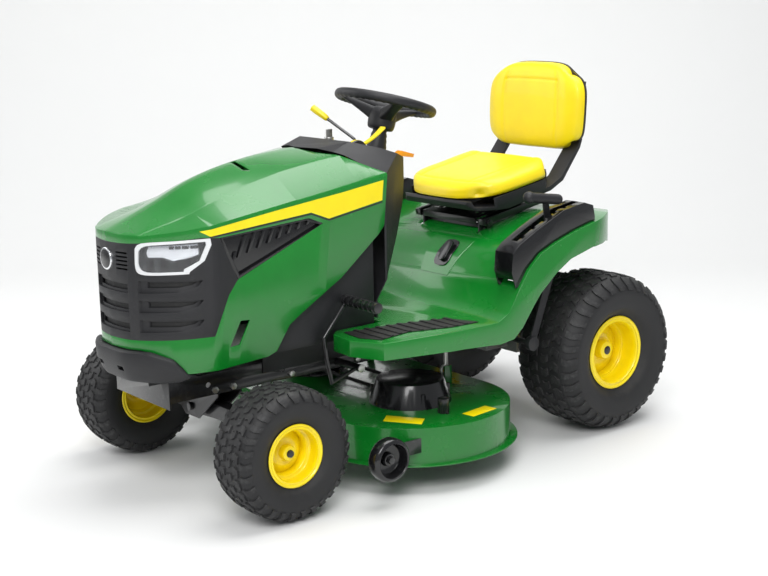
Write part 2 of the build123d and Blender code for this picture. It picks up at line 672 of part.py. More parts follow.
HOOD_SECTIONS = [(-1560.0, 118.0, 752.0, 748.0, 762.0), (-1368.0, 124.0, 802.0, 788.0, 842.0),
                 (-1171.0, 132.0, 872.0, 817.0, 921.0), (-1000.0, 141.0, 909.0, 841.0, 941.0),
                 (-850.0, 150.0, 931.0, 863.0, 951.0), (-700.0, 156.0, 944.0, 885.0, 955.0)]
HOOD_REAR = [(0, -905), (150, -850), (HOOD_HALF_WIDTH, -740)]
HOOD_SIDE = [(-1560, 391), (-1403, 391), (-1177, 405), (-1148, 415), (-1101, 483), (-1063, 508), (-915, 593),
             (-777, 702), (-756, 725), (-740, 879), (-740, 1000), (-1560, 1000)]
GRILLE_SIDE = [(-1600, 478), (-1345, 490), (-1296, 598), (-1266, 636), (-1318, 757), (-1368, 776),
               (-1600, 760)]
VENT_SIDE = [(-1266, 636), (-1318, 757), (-1024, 777), (-975, 757)]


def hood_form(inset):
    """Solid under the hood skin, pulled in by the inset on every side."""
    faces = []
    for y, crease_x, crease_z, side_z, crown_z in HOOD_SECTIONS:
        w = HOOD_HALF_WIDTH - inset
        half = [(w, 330 - inset), (w, side_z - inset), (crease_x - inset, crease_z - inset)]
        outline = half + [(0, crown_z - inset)] + [(-x, z) for x, z in reversed(half)]
        plane = Plane(origin=(0, y, 0), x_dir=(1, 0, 0), z_dir=(0, -1, 0))
        faces.append(plane * make_face(Polyline(*outline, close=True)))
    body = loft(Sketch() + faces, ruled=True)
    front = HOOD_FRONT_Y + inset
    plan = [(0, front), (98, front + 22), (HOOD_HALF_WIDTH - inset, front + 164), (HOOD_HALF_WIDTH + 1, -600)]
    plan += [(0, -600)]
    nose = prism_z(plan, 300, 1000)
    return body & (nose + flip(nose))


def hood_shell_solid():
    """Hood skin before the grille, lamps and vents are taken out."""
    skin = hood_form(0.0) - hood_form(HOOD_WALL)
    rear = [(0, -1600)] + [(HOOD_HALF_WIDTH + 10, -1600), (HOOD_HALF_WIDTH + 10, -740)]
    rear += [(x, y) for x, y in reversed(HOOD_REAR)]
    cover = prism_z(rear, 300, 1000)
    skin = skin & (cover + flip(cover))
    return skin & prism_x(HOOD_SIDE, -300, 300)


def bumper_notch():
    """Space at the front of the hood that the bumper takes up."""
    return prism_x([(-1600, 455.5), (-1502, 455.5), (-1450, 434.5), (-1413, 384.5), (-1400, 300),
                    (-1600, 300)], -300, 300)


def hood_shell():
    """Green hood skin with its hinge lugs."""
    skin = hood_shell_solid() - bumper_notch()
    skin -= prism_x(GRILLE_SIDE, -300, 300)
    skin -= prism_x(VENT_SIDE, -300, 300)
    skin -= lamp_zone(0.0) + flip(lamp_zone(0.0))
    slot = prism_z([(-78, -1108), (78, -1108), (70, -1122), (-70, -1122)], 800, 1000)
    skin -= slot
    for side in (-1, 1):
        x0 = side * (HOOD_HALF_WIDTH - HOOD_WALL - 30)
        skin -= prism_x([(-1293, 453), (-1280, 453), (-1236, 520), (-1252, 520)], x0, side * 300)
    return skin


def hood_hinge_bar():
    """Hinge pin of the hood on two horns at the nose of the frame."""
    pin = disc_x(-HOOD_LUG_X - 14, HOOD_LUG_X + 14, HOOD_HINGE_Y, HOOD_HINGE_Z, HOOD_HINGE_RADIUS)
    for side in (-1, 1):
        x = side * HOOD_LUG_X
        nose = FRAME_FRONT_Y - FRAME_PLATE
        pin += block(x - 3, x + 3, HOOD_HINGE_Y, nose, RAIL_TOP_Z - 14, RAIL_TOP_Z + 18)
        pin += disc_x(x - 3, x + 3, HOOD_HINGE_Y, HOOD_HINGE_Z, 12)
        pin += block(x - 3, x + 3, nose, nose + FRAME_PLATE, RAIL_TOP_Z - 14, RAIL_TOP_Z + 18)
    return pin


def lamp_zone(inset):
    """Front-view outline of the left headlamp, shrunk by the inset."""
    k = inset
    outline = [(108 + k, 748 - k), (108 + k, 676 + k), (124 + k, 662 + k), (300, 668 + k), (300, 786 - k),
               (128 + k, 772 - k)]
    return prism_y(outline, -1600, -1352 - k)


def grille():
    """Black front moulding with the slots between its slats."""
    outer = hood_form(0.0) - hood_form(16.0)
    zone = prism_x(GRILLE_SIDE, -300, 300)
    body = outer & zone
    body -= lamp_zone(0.0) + flip(lamp_zone(0.0))
    for z in (632, 578, 524):
        body -= block(-80, 80, -1600, -1480, z - 13, z + 9)
        slot = prism_y([(112, z - 12), (200, z - 6), (214, z + 16), (112, z + 10)], -1600, -1380)
        body -= slot + flip(slot)
    for k in range(5):
        z = 700 + 11 * k
        for side in (-1, 1):
            body -= block(side * 42, side * 86, -1600, -1480, z, z + 5)
    return body


def headlamp():
    """Left lamp lens with its hollow body."""
    skin = hood_form(0.0) - hood_form(6.0)
    return skin & lamp_zone(0.0)


def lamp_reflector():
    """Left lamp reflector behind the lens."""
    skin = hood_form(6.0) - hood_form(16.0)
    return skin & lamp_zone(0.0)


def hood_vent():
    """Left black louvred panel on the side of the hood."""
    zone = prism_x(VENT_SIDE, 200, 300)
    skin = (hood_form(0.0) - hood_form(12.0)) & zone
    for k in range(7):
        y = -1290 + 42 * k
        z = 700 + 9 * k
        skin -= prism_x([(y, z), (y + 30, z + 2), (y + 34, z + 34), (y + 4, z + 32)], HOOD_HALF_WIDTH - 6,
                        300)
    return skin


def badge():
    """Plain round boss on the middle of the grille."""
    return disc_y(0, HOOD_FRONT_Y - 6, HOOD_FRONT_Y + 16, 698, 32) - hood_form(0.0)


# ---------------------------------------------------------------- dash and side shields

COWL_SIDE = [(-870, 860), (-905, 946), (-870, 962), (-790, 964), (-700, 940), (-604, 904), (-600, 870),
             (-618, 770),
             (-665, 680), (-735, 580), (-765, 500), (-765, 440), (-1000, 440), (-1000, 700)]
COWL_FRONT = [(-232, 430), (232, 430), (232, 868), (160, 940), (112, 972), (-112, 972), (-160, 940),
              (-232, 868)]


def cowl_form(inset):
    """Solid under the dash cowl skin."""
    k = inset
    plan = [(0, -1060), (232 - k, -1060), (232 - k, -742 - k), (150 - k, -606 - k), (0, -596 - k)]
    block_form = prism_z(plan, 300, 1000)
    side = prism_x(COWL_SIDE, -300, 300) if k == 0 else Pos(0, -k, -k) * prism_x(COWL_SIDE, -300, 300)
    front = Pos(0, 0, -k) * prism_y(COWL_FRONT, -1100, -500)
    return (block_form + flip(block_form)) & side & front


def dash_cowl():
    """Dash and steering pedestal moulding."""
    shell = cowl_form(0.0) - cowl_form(4.0)
    shell -= prism_z([(-250, -1600), (250, -1600), (250, -734), (238, -734), (150, -844), (0, -899),
                      (-150, -844), (-238, -734), (-250, -734)], 300, 1100)
    shell -= block(-240, 240, -1061, -650, 430, 446)
    shaft_hole = column_frame() * Pos(0, 0, -400) * Cylinder(26, 700)
    shell -= shaft_hole
    shell -= block(-62, -30, -660, -610, 850, 960)
    shell -= block(92, 108, -790, -700, 880, 990)
    shell -= block(112, 138, -640, -560, 840, 960)
    solids = sorted(shell.solids(), key=lambda s: s.volume)
    return solids[-1]


def side_shield():
    """Left black panel between the hood edge and the frame."""
    outline = [(-1150, 404), (-1150, 440), (-1060, 530), (-900, 640), (-790, 740), (-782, 745), (-782, 446),
               (-790, 404)]
    panel = prism_x(outline, 214, 218)
    for y in (-1100, -1000, -900):
        panel += prism_x([(y, 404), (y, 470), (y + 8, 476), (y + 8, 404)], 210, 214)
    foot = block(RAIL_HALF_SPAN, 214, -1140, -800, 404, 408)
    foot += block(RAIL_HALF_SPAN, RAIL_HALF_SPAN + 4, -1140, -800, RAIL_TOP_Z - 30, 408)
    return panel + foot


def key_switch():
    """Ignition key in its barrel on the dash."""
    y, z = -690.0, 944.0
    barrel = disc_z(-110, y, z, z + 10, 15)
    return barrel + block(-112, -108, y - 12, y + 12, z + 10, z + 34)


# ---------------------------------------------------------------- fender and footrests

FENDER_TOP = [(-960, FLOOR_Z), (-520, FLOOR_Z), (-475, 458), (-440, 512), (-395, 575), (-345, 617),
              (-278, 644),
              (-200, 668), (-120, 687), (0, 698), (80, 690), (130, 672), (FENDER_REAR_Y, 640),
              (FENDER_REAR_Y, 300),
              (-1080, 300), (-1080, FLOOR_Z)]
FENDER_LOW = [(-1100, 391), (-650, 377), (-509, 367), (-455, 374), (-418, 405), (-372, 465), (-345, 496),
              (-278, 550),
              (-217, 585), (-120, 610), (-20, 612), (80, 590), (160, 560), (260, 540), (260, 900),
              (-1100, 900)]


def fender_form(inset):
    """Solid under the fender and footrest skin."""
    k = inset
    w = FENDER_HALF_WIDTH - k
    plan = [(0, -680 + k), (70, -680 + k), (70, -760 + k), (224 + k, -760 + k), (224 + k, -930 + k),
            (256, -962 + k), (345, -972 + k), (w - 30, -925 + k),
            (w, -690), (w, -110), (w - 17, -60), (w - 57, 5), (w - 122, 75), (w - 182, 120 - k),
            (w - 242, 150 - k),
            (w - 290, FENDER_REAR_Y - k),
            (0, FENDER_REAR_Y - k)]
    body = prism_z(plan, 250, 900)
    side = prism_x(FENDER_TOP, -600, 600)
    return (body + flip(body)) & (Pos(0, 0, -k) * side)


def fender_body():
    """Green fender and footrest shell."""
    shell = fender_form(0.0) - fender_form(FENDER_WALL)
    shell = shell & prism_x(FENDER_LOW, -600, 600)
    opening = block(-112, 112, -262, -60, 600, 800)
    shell -= opening
    for side in (-1, 1):
        shell -= block(side * 131, side * 141, -301, -259, 600, 700)
    for side in (-1, 1):
        x0, x1 = side * (CONSOLE_X0 + 22), side * (CONSOLE_X1 - 22)
        shell -= block(x0, x1, -420, -150, 500, 760)
    return shell


CONSOLE_TOP = [(-455, 572), (-450, 630), (-425, 652), (-350, 690), (-240, 736), (-150, 750), (-112, 738),
               (-104, 705)]


def console(lift):
    """Left or right control console laid on top of the fender."""
    outline = CONSOLE_TOP + [(-104, 690), (-200, 660), (-300, 610), (-420, 525), (-440, 525)]
    body = prism_x(outline, CONSOLE_X0, CONSOLE_X1) - fender_form(0.0)
    inner = [(y, z - 5) for y, z in CONSOLE_TOP[1:-1]] + [(-112, 600), (-446, 500)]
    body -= prism_x(inner, CONSOLE_X0 + 5, CONSOLE_X1 - 5)
    mid = (CONSOLE_X0 + CONSOLE_X1) / 2
    half = 13 if lift else 8
    body -= block(mid - half, mid + half, -410, -150, 500, 800)
    if lift:
        for k in range(5):
            body -= block(mid + half - 1, mid + half + 9, -396 + 44 * k, -384 + 44 * k, 640, 800)
    solids = sorted(body.solids(), key=lambda s: s.volume)
    return solids[-1]


def foot_mat():
    """Left ribbed rubber mat on the footrest."""
    outline = [(262, -930), (345, -938), (405, -905), (385, -790), (425, -660), (430, -560), (330, -600),
               (290, -740)]
    mat = prism_z(outline, FLOOR_Z, FLOOR_Z + 3)
    for k in range(9):
        y = -900 + 36 * k
        mat += prism_z(outline, FLOOR_Z + 2, FLOOR_Z + 6) & block(0, 600, y, y + 12, 400, 500)
    return mat


def fuel_window():
    """Pill-shaped fuel gauge window on the front of the fender hump."""
    plane = Plane(origin=(100, -392, 583), x_dir=(1, 0, 0), z_dir=(0, -0.8, 0.6))
    pill = extrude(plane * SlotOverall(74, 34, rotation=90), amount=12)
    pill = pill - fender_form(0.0)
    return pill


# ---------------------------------------------------------------- seat

def on_seat(shape):
    """Carries a shape drawn flat at the seat hinge up to the sloping seat."""
    return Pos(0, SEAT_HINGE_Y, SEAT_HINGE_Z) * Rot(SEAT_SLOPE, 0, 0) * shape


def seat_plate():
    """Folded plate under the seat with its slide slots."""
    w, d, t = SEAT_PLATE_HALF_WIDTH, SEAT_PLATE_DEPTH, SEAT_PLATE_THICKNESS
    plate = block(-w, w, -18, d, -4, t - 4) - block(-w + 3, w - 3, -15, d - 3, -10, t - 7)
    for x in (-95, 95):
        for k in (0, 1):
            plate -= block(x - 24 + 28 * k, x - 12 + 28 * k, 30, 200, -20, 30)
    plate -= block(-40, 40, 60, 130, -20, 30)
    for x in (-w + 8, w - 8):
        plate += disc_x(x - 5, x + 5, 0, 2, SEAT_HINGE_RADIUS + 8)
    plate -= block(-144, -128, -19, 25, -12, 20) + block(128, 144, -19, 25, -12, 20)
    plate -= disc_x(-w - 5, w + 5, 0, 2, SEAT_HINGE_RADIUS + RUNNING_FIT)
    return on_seat(plate)


def seat_hinge():
    """Hinge pin and its two brackets on the frame posts."""
    w = SEAT_PLATE_HALF_WIDTH
    pin = disc_x(-w - 10, w + 10, 0, 2, SEAT_HINGE_RADIUS)
    for side in (-1, 1):
        pin += hexagon_x(side * (w + 8) - 4, side * (w + 8) + 4, 0, 2, 17)
    body = on_seat(pin)
    for side in (-1, 1):
        body += block(side * 133, side * 139, -290, -262, 560, SEAT_HINGE_Z + 5)
    return body


def seat_pan():
    """Black moulded seat pan with the two straps that carry the back."""
    w = SEAT_HALF_WIDTH - 6
    side = [(-50, 54), (-64, 76), (-60, 84), (232, 84), (288, 97), (294, 80), (256, 58), (170, 40), (60, 36)]
    pan = prism_x(side, -w, w)
    trim = prism_z([(0, -80), (120, -80), (w - 26, -40), (w, 20), (w, 230), (150, 294), (0, 300)], 0, 200)
    pan = pan & (trim + flip(trim))
    pan -= prism_x([(-48, 64), (-54, 90), (278, 100), (252, 70), (170, 50), (60, 46)], -w + 6, w - 6)
    for x in (-95, 95):
        pan += block(x - 20, x + 20, 40, 210, SEAT_PLATE_THICKNESS - 4 + BODY_GAP, 50)
    pan = on_seat(pan)
    for x in (-162, 162):
        pan += strap(x)
    return pan


def strap(x):
    """Flat bar from the pan up behind the back cushion."""
    line = [(-150, 738), (-110, 746), (-28, 762), (24, 788), (102, 884), (112, 905), (128, 1090), (136, 1090),
            (120, 902), (110, 876), (32, 776), (-24, 748), (-108, 732), (-150, 724)]
    return prism_x(line, x - STRAP_WIDTH / 2, x + STRAP_WIDTH / 2)


def seat_cushion():
    """Padded seat cushion."""
    w = SEAT_HALF_WIDTH
    side = [(-66, 84.3), (-74, 108), (-56, 132), (-16, 148), (60, 146), (160, 144), (236, 152), (280, 146),
            (292, 122),
            (288, 97), (232, 84.3)]
    pad = prism_x(side, -w, w)
    trim = prism_z([(0, -90), (110, -90), (176, -50), (w, 20), (w, 222), (186, 282), (130, 300), (0, 300)],
                   0, 300)
    return on_seat(pad & (trim + flip(trim)))


def back_cushion():
    """Padded seat back."""
    outline = [(-205, 884), (-218, 960), (-206, 1040), (-176, 1116), (-130, 1142), (0, 1150), (130, 1142),
               (176, 1116),
               (206, 1040), (218, 960), (205, 884), (150, 868), (-150, 868)]
    flat = prism_y(outline, 20, 200)
    lean = [(44, 850), (38, 900), (50, 1010), (84, 1120), (112, 1160), (134, 1160), (127.5, 1090),
            (111.5, 905),
            (103.5, 880.3), (90, 850)]
    return (flat & prism_x(lean, -300, 300)) - strap(-162) - strap(162)


# ---------------------------------------------------------------- hand and foot controls


def lift_lever():
    """Deck lift lever with its cross shaft below the fender and its grip above the console."""
    x, y, z = LIFT_PIVOT
    lever = disc_x(-RAIL_HALF_SPAN - 60, x + 8, y, z, ROCKSHAFT_RADIUS)
    lever += prism_x([(y - 14, z), (y + 14, z), (-226, 560), (-262, 760), (-284, 760), (-258, 560)], x - 3,
                     x + 3)
    lever += disc_x(x - 10, x + 10, y, z, 22)
    for side in (-1, 1):
        ax = side * (RAIL_HALF_SPAN + 30)
        lever += prism_x([(y, z + 12), (y, z - 12), (y - LIFT_ARM, z - 9), (y - LIFT_ARM, z + 9)], ax - 4,
                         ax + 4)
        lever += disc_x(ax - 4, ax + 4, y - LIFT_ARM, z, 9)
        lever += disc_x(ax - side * 4, ax + side * 14, y - LIFT_ARM, z, LINK_PIN_RADIUS)
    return lever


def lift_grip():
    """Moulded grip on the lift lever."""
    x = LIFT_PIVOT[0]
    grip = bar((x - 12, -330, 778), (x + 14, -236, 766), 16)
    grip += Pos(x - 12, -330, 778) * Sphere(19)
    grip += Pos(x + 14, -236, 766) * Sphere(16)
    lever = prism_x([(-262, 760), (-284, 760), (-258, 560), (-226, 560)], x - 3, x + 3)
    return grip - lever


def lift_link(side):
    """Link from the lift shaft arm down to the deck hanger."""
    x0 = side * (RAIL_HALF_SPAN + 30) + (5 if side > 0 else -5)
    x1 = x0 + side * 7
    xa, xb = min(x0, x1), max(x0, x1)
    y, top = LIFT_PIVOT[1] - LIFT_ARM, LIFT_PIVOT[2]
    part = block(xa, xb, y - 7, y + 7, top - LINK_DROP, top)
    low = top - LINK_DROP
    part += disc_x(xa, xb, y, top, 13) + disc_x(xa, xb, y - 4, low, 19)
    part -= disc_x(xa - 1, xb + 1, y, top, LINK_PIN_RADIUS + RUNNING_FIT)
    for end in (y + 1, y - 8):
        part -= disc_x(xa - 1, xb + 1, end, low, LINK_PIN_RADIUS + 1)
    return part - block(xa - 1, xb + 1, y - 8, y + 1, low - LINK_PIN_RADIUS - 1, low + LINK_PIN_RADIUS + 1)


def mower_engage_lever():
    """Bent rod from the dash with a yellow knob."""
    return bar((-46, -634, 890), (-46, -634, 944), 5) + bent_bar([(-46, -634, 944), (-132, -690, 1016)], 4.5)


def mower_engage_knob():
    knob = bar((-126, -686, 1011), (-160, -708, 1040), 9) + Pos(-160, -708, 1040) * Sphere(11)
    return knob - mower_engage_lever()


def throttle_lever():
    """Throttle lever on a drum in the dash."""
    y, z = -745.0, 925.0
    drum = disc_x(93, 107, y, z, 38)
    return drum + bent_bar([(100, y + 10, z + 20), (100, -700, 962), (100, -648, 990)], 6) + \
        block(94, 106, -664, -638, 980, 1000)


def parking_brake_lever():
    """Short orange pull tab at the side of the dash."""
    tab = prism_x([(-628, 868), (-606, 872), (-596, 905), (-556, 898), (-552, 908), (-600, 922),
                   (-618, 912)], 114, 136)
    return tab + disc_x(113, 137, -620, 872, 8)


def brake_pedal():
    """Ribbed brake pedal bar on a bent rod arm."""
    pad = disc_x(236, 392, -903, 524, 15)
    for k in range(7):
        pad += disc_x(244 + 22 * k, 250 + 22 * k, -903, 524, 17)
    arm = bent_bar([(238, -903, 524), (248, -918, 510), (248, -990, 428), (248, -984, 366), (248, -966, 290),
                    (248, -880, 318)], 6)
    hub = disc_x(RAIL_HALF_SPAN + 2, 258, BRAKE_PIVOT_Y, BRAKE_PIVOT_Z, 11)
    hub -= disc_x(RAIL_HALF_SPAN, 260, BRAKE_PIVOT_Y, BRAKE_PIVOT_Z, 8 + RUNNING_FIT)
    return pad + (arm - disc_x(100, 300, BRAKE_PIVOT_Y, BRAKE_PIVOT_Z, 8 + RUNNING_FIT)) + hub


def pedal_pins():
    """Pins on both rails that carry the pedal hubs."""
    left = disc_x(RAIL_HALF_SPAN, 268, BRAKE_PIVOT_Y, BRAKE_PIVOT_Z, 8)
    left += disc_x(264, 268, BRAKE_PIVOT_Y, BRAKE_PIVOT_Z, 12)
    right = disc_x(-362, -RAIL_HALF_SPAN, BRAKE_PIVOT_Y, BRAKE_PIVOT_Z, 8)
    return left + right + disc_x(-366, -362, BRAKE_PIVOT_Y, BRAKE_PIVOT_Z, 12)


def drive_pedal(x, height, length):
    """Right-foot drive pedal with its pad above the footrest edge."""
    pad = Pos(x, -985, height) * Rot(-32, 0, 0) * Box(64, length, 9)
    for k in (-1, 0, 1):
        pad += Pos(x, -985, height) * Rot(-32, 0, 0) * Pos(0, k * 16, 6) * Box(56, 5, 4)
    arm = bent_bar([(x, -985, height), (x, -1000, height - 70), (x, -960, BRAKE_PIVOT_Z - 10),
                    (x, BRAKE_PIVOT_Y, BRAKE_PIVOT_Z)], 6)
    hub = disc_x(x - 12, x + 12, BRAKE_PIVOT_Y, BRAKE_PIVOT_Z, 13)
    part = pad + arm + hub
    return part - disc_x(x - 20, x + 20, BRAKE_PIVOT_Y, BRAKE_PIVOT_Z, 8 + RUNNING_FIT)


# ---------------------------------------------------------------- mower deck

def deck_outline(radius, right_end):
    """Plan of the deck: round left end, straight sides, square right end."""
    left = Pos(SPINDLE_SPAN, DECK_CENTRE_Y, 0) * Circle(radius)
    right = Pos(-SPINDLE_SPAN, DECK_CENTRE_Y, 0) * Circle(radius)
    middle = Pos(0, DECK_CENTRE_Y, 0) * Rectangle(2 * SPINDLE_SPAN, 2 * radius)
    corner = Pos(-SPINDLE_SPAN - right_end / 2, DECK_CENTRE_Y - radius / 2, 0) * Rectangle(right_end, radius)
    return left + right + middle + corner


def deck_shell():
    """Pressed steel deck shell with a rolled lip, chute mouth and link lugs."""
    r = DECK_HALF_DEPTH
    t = DECK_WALL
    mouth = block(-700, CHUTE_HINGE_X + 10, -1100, CHUTE_REAR_Y + 12, DECK_SKIRT_Z - 10, DECK_TOP_Z + 10)
    outer = extrude(Pos(0, 0, DECK_SKIRT_Z) * deck_outline(r, 190), amount=DECK_TOP_Z - DECK_SKIRT_Z)
    inner = extrude(Pos(0, 0, DECK_SKIRT_Z - 1) * deck_outline(r - t, 190 + 2 * t),
                    amount=DECK_TOP_Z - DECK_SKIRT_Z + 1 - t)
    shell = outer - inner
    lip = extrude(Pos(0, 0, DECK_SKIRT_Z - t) * deck_outline(r + DECK_LIP, 190), amount=t)
    lip -= extrude(Pos(0, 0, DECK_SKIRT_Z - t - 1) * deck_outline(r - t, 190 + 2 * t), amount=t + 2)
    shell = (shell + lip) - mouth
    for side in (-1, 1):
        shell -= disc_z(side * SPINDLE_SPAN, DECK_CENTRE_Y, DECK_TOP_Z - 10, DECK_TOP_Z + 1, 30)
        x = side * (RAIL_HALF_SPAN + 30)
        y = LIFT_PIVOT[1] - LIFT_ARM
        z = LIFT_PIVOT[2] - LINK_DROP
        lug_x0 = x + side * 14
        shell += block(lug_x0, lug_x0 + side * 6, y - 14, y + 14, DECK_TOP_Z - t, z + 14)
        shell += disc_x(x + side * 4, lug_x0 + side * 6, y, z, LINK_PIN_RADIUS)
    return shell


def spindle_housings():
    """Bearing housings bolted under the deck top."""
    group = None
    for side in (-1, 1):
        x = side * SPINDLE_SPAN
        body = disc_z(x, DECK_CENTRE_Y, 132, DECK_TOP_Z + 15, 29.8) + disc_z(x, DECK_CENTRE_Y, DECK_TOP_Z,
                                                                             DECK_TOP_Z + 8, 52)
        body -= disc_z(x, DECK_CENTRE_Y, 120, DECK_TOP_Z + 20, BLADE_SHAFT_RADIUS + RUNNING_FIT)
        group = body if group is None else group + body
    return group


def blade_set():
    """Blade shaft at the deck centre line with its pulley and blade."""
    z = DECK_TOP_Z + 18
    shaft = disc_z(0, 0, BLADE_Z - 16, z + 28, BLADE_SHAFT_RADIUS)
    pulley = disc_z(0, 0, z, z + 5, 62) + disc_z(0, 0, z + 5, z + 15, 50) + disc_z(0, 0, z + 15, z + 20, 62)
    half = BLADE_LENGTH / 2
    blade = block(-half, half, -BLADE_WIDTH / 2, BLADE_WIDTH / 2, BLADE_Z, BLADE_Z + BLADE_THICKNESS)
    wing = prism_x([(10, BLADE_Z + 2), (27.5, BLADE_Z), (38, BLADE_Z + 16), (34, BLADE_Z + 18),
                    (25, BLADE_Z + 5)],
                   half - 130, half)
    blade += wing + Rot(0, 0, 180) * wing
    head = hexagon_z(0, 0, BLADE_Z - 14, BLADE_Z, 28) + disc_z(0, 0, BLADE_Z + 5, 131, 24)
    blade = blade & Cylinder(half, 400)
    return shaft + pulley + blade + head


def deck_belt():
    """Belt round both blade pulleys."""
    z0, z1 = DECK_TOP_Z + 23.5, DECK_TOP_Z + 32.5
    lo, hi = 50 + BODY_GAP, 59.0
    outer = extrude(Pos(0, DECK_CENTRE_Y, z0) * (Rectangle(2 * SPINDLE_SPAN, 2 * hi)
                                                 + Pos(SPINDLE_SPAN, 0) * Circle(hi)
                                                 + Pos(-SPINDLE_SPAN, 0) * Circle(hi)), amount=z1 - z0)
    inner = extrude(Pos(0, DECK_CENTRE_Y, z0 - 1) * (Rectangle(2 * SPINDLE_SPAN, 2 * lo)
                                                     + Pos(SPINDLE_SPAN, 0) * Circle(lo)
                                                     + Pos(-SPINDLE_SPAN, 0) * Circle(lo)),
                                                     amount=z1 - z0 + 2)
    return outer - inner


def belt_cover():
    """Left round cover over a blade pulley, open towards the belt."""
    outer = Pos(0, 0, DECK_TOP_Z) * Cone(126, 102, 68, align=(Align.CENTER, Align.CENTER, Align.MIN))
    inner = Pos(0, 0, DECK_TOP_Z - 0.1) * Cone(122, 98, 64, align=(Align.CENTER, Align.CENTER, Align.MIN))
    cover = outer - inner
    cover -= block(-140, 0, -66, 66, DECK_TOP_Z + 12, DECK_TOP_Z + 44)
    for a in (-20, 60, 140, 220):
        rib = Rot(0, 0, a) * block(108, 121, -6, 6, DECK_TOP_Z + 8, DECK_TOP_Z + 44)
        cover += rib - inner
    return Pos(SPINDLE_SPAN, DECK_CENTRE_Y, 0) * cover


def chute_deflector():
    """Sprung plastic deflector hinged on the right edge of the deck."""
    x = CHUTE_HINGE_X
    z = DECK_TOP_Z + 10
    profile = [(x - 8.5, z + 4), (x - 40, z + 4), (x - 180, 150), (x - CHUTE_REACH, 98), (x - 226, 94),
               (x - 176, 144),
               (x - 40, z - 1), (x - 8.5, z - 1)]
    sheet = prism_y(profile, CHUTE_FRONT_Y, CHUTE_REAR_Y)
    for y in (CHUTE_FRONT_Y, CHUTE_REAR_Y - 4):
        side = [(x - 40, z + 2), (x - 180, 148), (x - 228, 97), (x - 120, 97), (x - 24, 180), (x - 24, z - 2)]
        sheet += prism_y(side, y, y + 4)
    for y in (-880, -760):
        sheet += disc_y(x, y - 14, y + 14, z, 9)
    return sheet - disc_y(x, -1000, -600, z, 4 + RUNNING_FIT)


def chute_hinge():
    """Hinge rod and its three ears on the deck."""
    x = CHUTE_HINGE_X
    z = DECK_TOP_Z + 10
    rod = disc_y(x, CHUTE_FRONT_Y + 4, CHUTE_REAR_Y - 4, z, 4)
    for y in (CHUTE_FRONT_Y + 4, -823, CHUTE_REAR_Y - 10):
        rod += block(x - 5, x + 10, y, y + 6, DECK_TOP_Z, z + 6)
    return rod


def gauge_wheel():
    """Dished plastic gauge wheel centred at its own axle."""
    r, w = GAUGE_WHEEL_RADIUS, GAUGE_WHEEL_WIDTH / 2
    profile = [(-w, 14), (-w, r - 12), (-w + 6, r - 3), (-w + 14, r), (w - 14, r), (w - 6, r - 3),
               (w, r - 12),
               (w - 3, r - 14), (-w + 16, r - 20), (-w + 10, 20), (4, 18), (4, 14)]
    wheel = turned_x(profile, 0, 0, 0) + disc_x(-w, 4, 0, 0, 14.5)
    return wheel - disc_x(-w - 1, w + 1, 0, 0, GAUGE_BOLT_RADIUS + RUNNING_FIT)


def gauge_bracket():
    """Left gauge wheel bracket with its shoulder bolt."""
    x0 = GAUGE_WHEEL_X - GAUGE_WHEEL_WIDTH / 2 - SIDE_PLAY
    y, z = GAUGE_WHEEL_Y, GAUGE_WHEEL_Z
    arm = block(x0 - 6, x0, y - 14, DECK_CENTRE_Y - 60, z - 16, z + 26) - extrude(
        Pos(0, 0, 0) * deck_outline(DECK_HALF_DEPTH + 0.01, 190), amount=400)
    return arm + gauge_bolt(x0)


def gauge_bolt(x0):
    """Shoulder bolt of the left gauge wheel."""
    y, z = GAUGE_WHEEL_Y, GAUGE_WHEEL_Z
    bolt = disc_x(x0 - 2, GAUGE_WHEEL_X + 12, y, z, GAUGE_BOLT_RADIUS)
    return bolt + hexagon_x(GAUGE_WHEEL_X + 4 + SIDE_PLAY, GAUGE_WHEEL_X + 14, y, z, 19)


def gauge_bracket_right():
    """Right gauge wheel bracket, bolted to the front wall of the deck beside the chute."""
    x0 = GAUGE_WHEEL_X - GAUGE_WHEEL_WIDTH / 2 - SIDE_PLAY
    y, z = GAUGE_WHEEL_Y, GAUGE_WHEEL_Z
    wall = DECK_CENTRE_Y - DECK_HALF_DEPTH
    arm = block(x0 - 6, x0, y - 14, wall, z - 16, z + 26)
    arm += block(360, x0, wall - 6, wall, z - 16, z + 26)
    return flip(arm + gauge_bolt(x0))


def wash_port():
    """Wash port fitting on the deck top."""
    x, y = 430.0, -700.0
    port = disc_z(x, y, DECK_TOP_Z, DECK_TOP_Z + 24, 15) + disc_z(x, y, DECK_TOP_Z + 24, DECK_TOP_Z + 44, 17)
    for k in range(10):
        a = k * math.pi / 5
        port += disc_z(x + 15 * math.cos(a), y + 15 * math.sin(a), DECK_TOP_Z, DECK_TOP_Z + 24, 2)
    return port + block(x - 22, x + 22, y - 4, y + 4, DECK_TOP_Z, DECK_TOP_Z + 4)


# ---------------------------------------------------------------- fasteners and writing

def frame_bolts():
    """Hexagonal bolt heads on the outside of both rails."""
    group = None
    for y in (-1300, -1240, -1040, -800, -560, -160, 60):
        for side in (-1, 1):
            x0 = side * RAIL_HALF_SPAN
            head = hexagon_x(min(x0, x0 + side * 8), max(x0, x0 + side * 8), y, RAIL_BOTTOM_Z + 14, 17)
            group = head if group is None else group + head
    return group


def deck_fasteners():
    """Heads of the housing screws on the deck top."""
    group = None
    for side in (-1, 1):
        for a in (45, 135, 225, 315):
            x = side * SPINDLE_SPAN + 42 * math.cos(math.radians(a))
            y = DECK_CENTRE_Y + 42 * math.sin(math.radians(a))
            head = hexagon_z(x, y, DECK_TOP_Z + 8, DECK_TOP_Z + 14, 11)
            group = head if group is None else group + head
    return group


def at(shape, x, y, z):
    return Pos(x, y, z) * shape


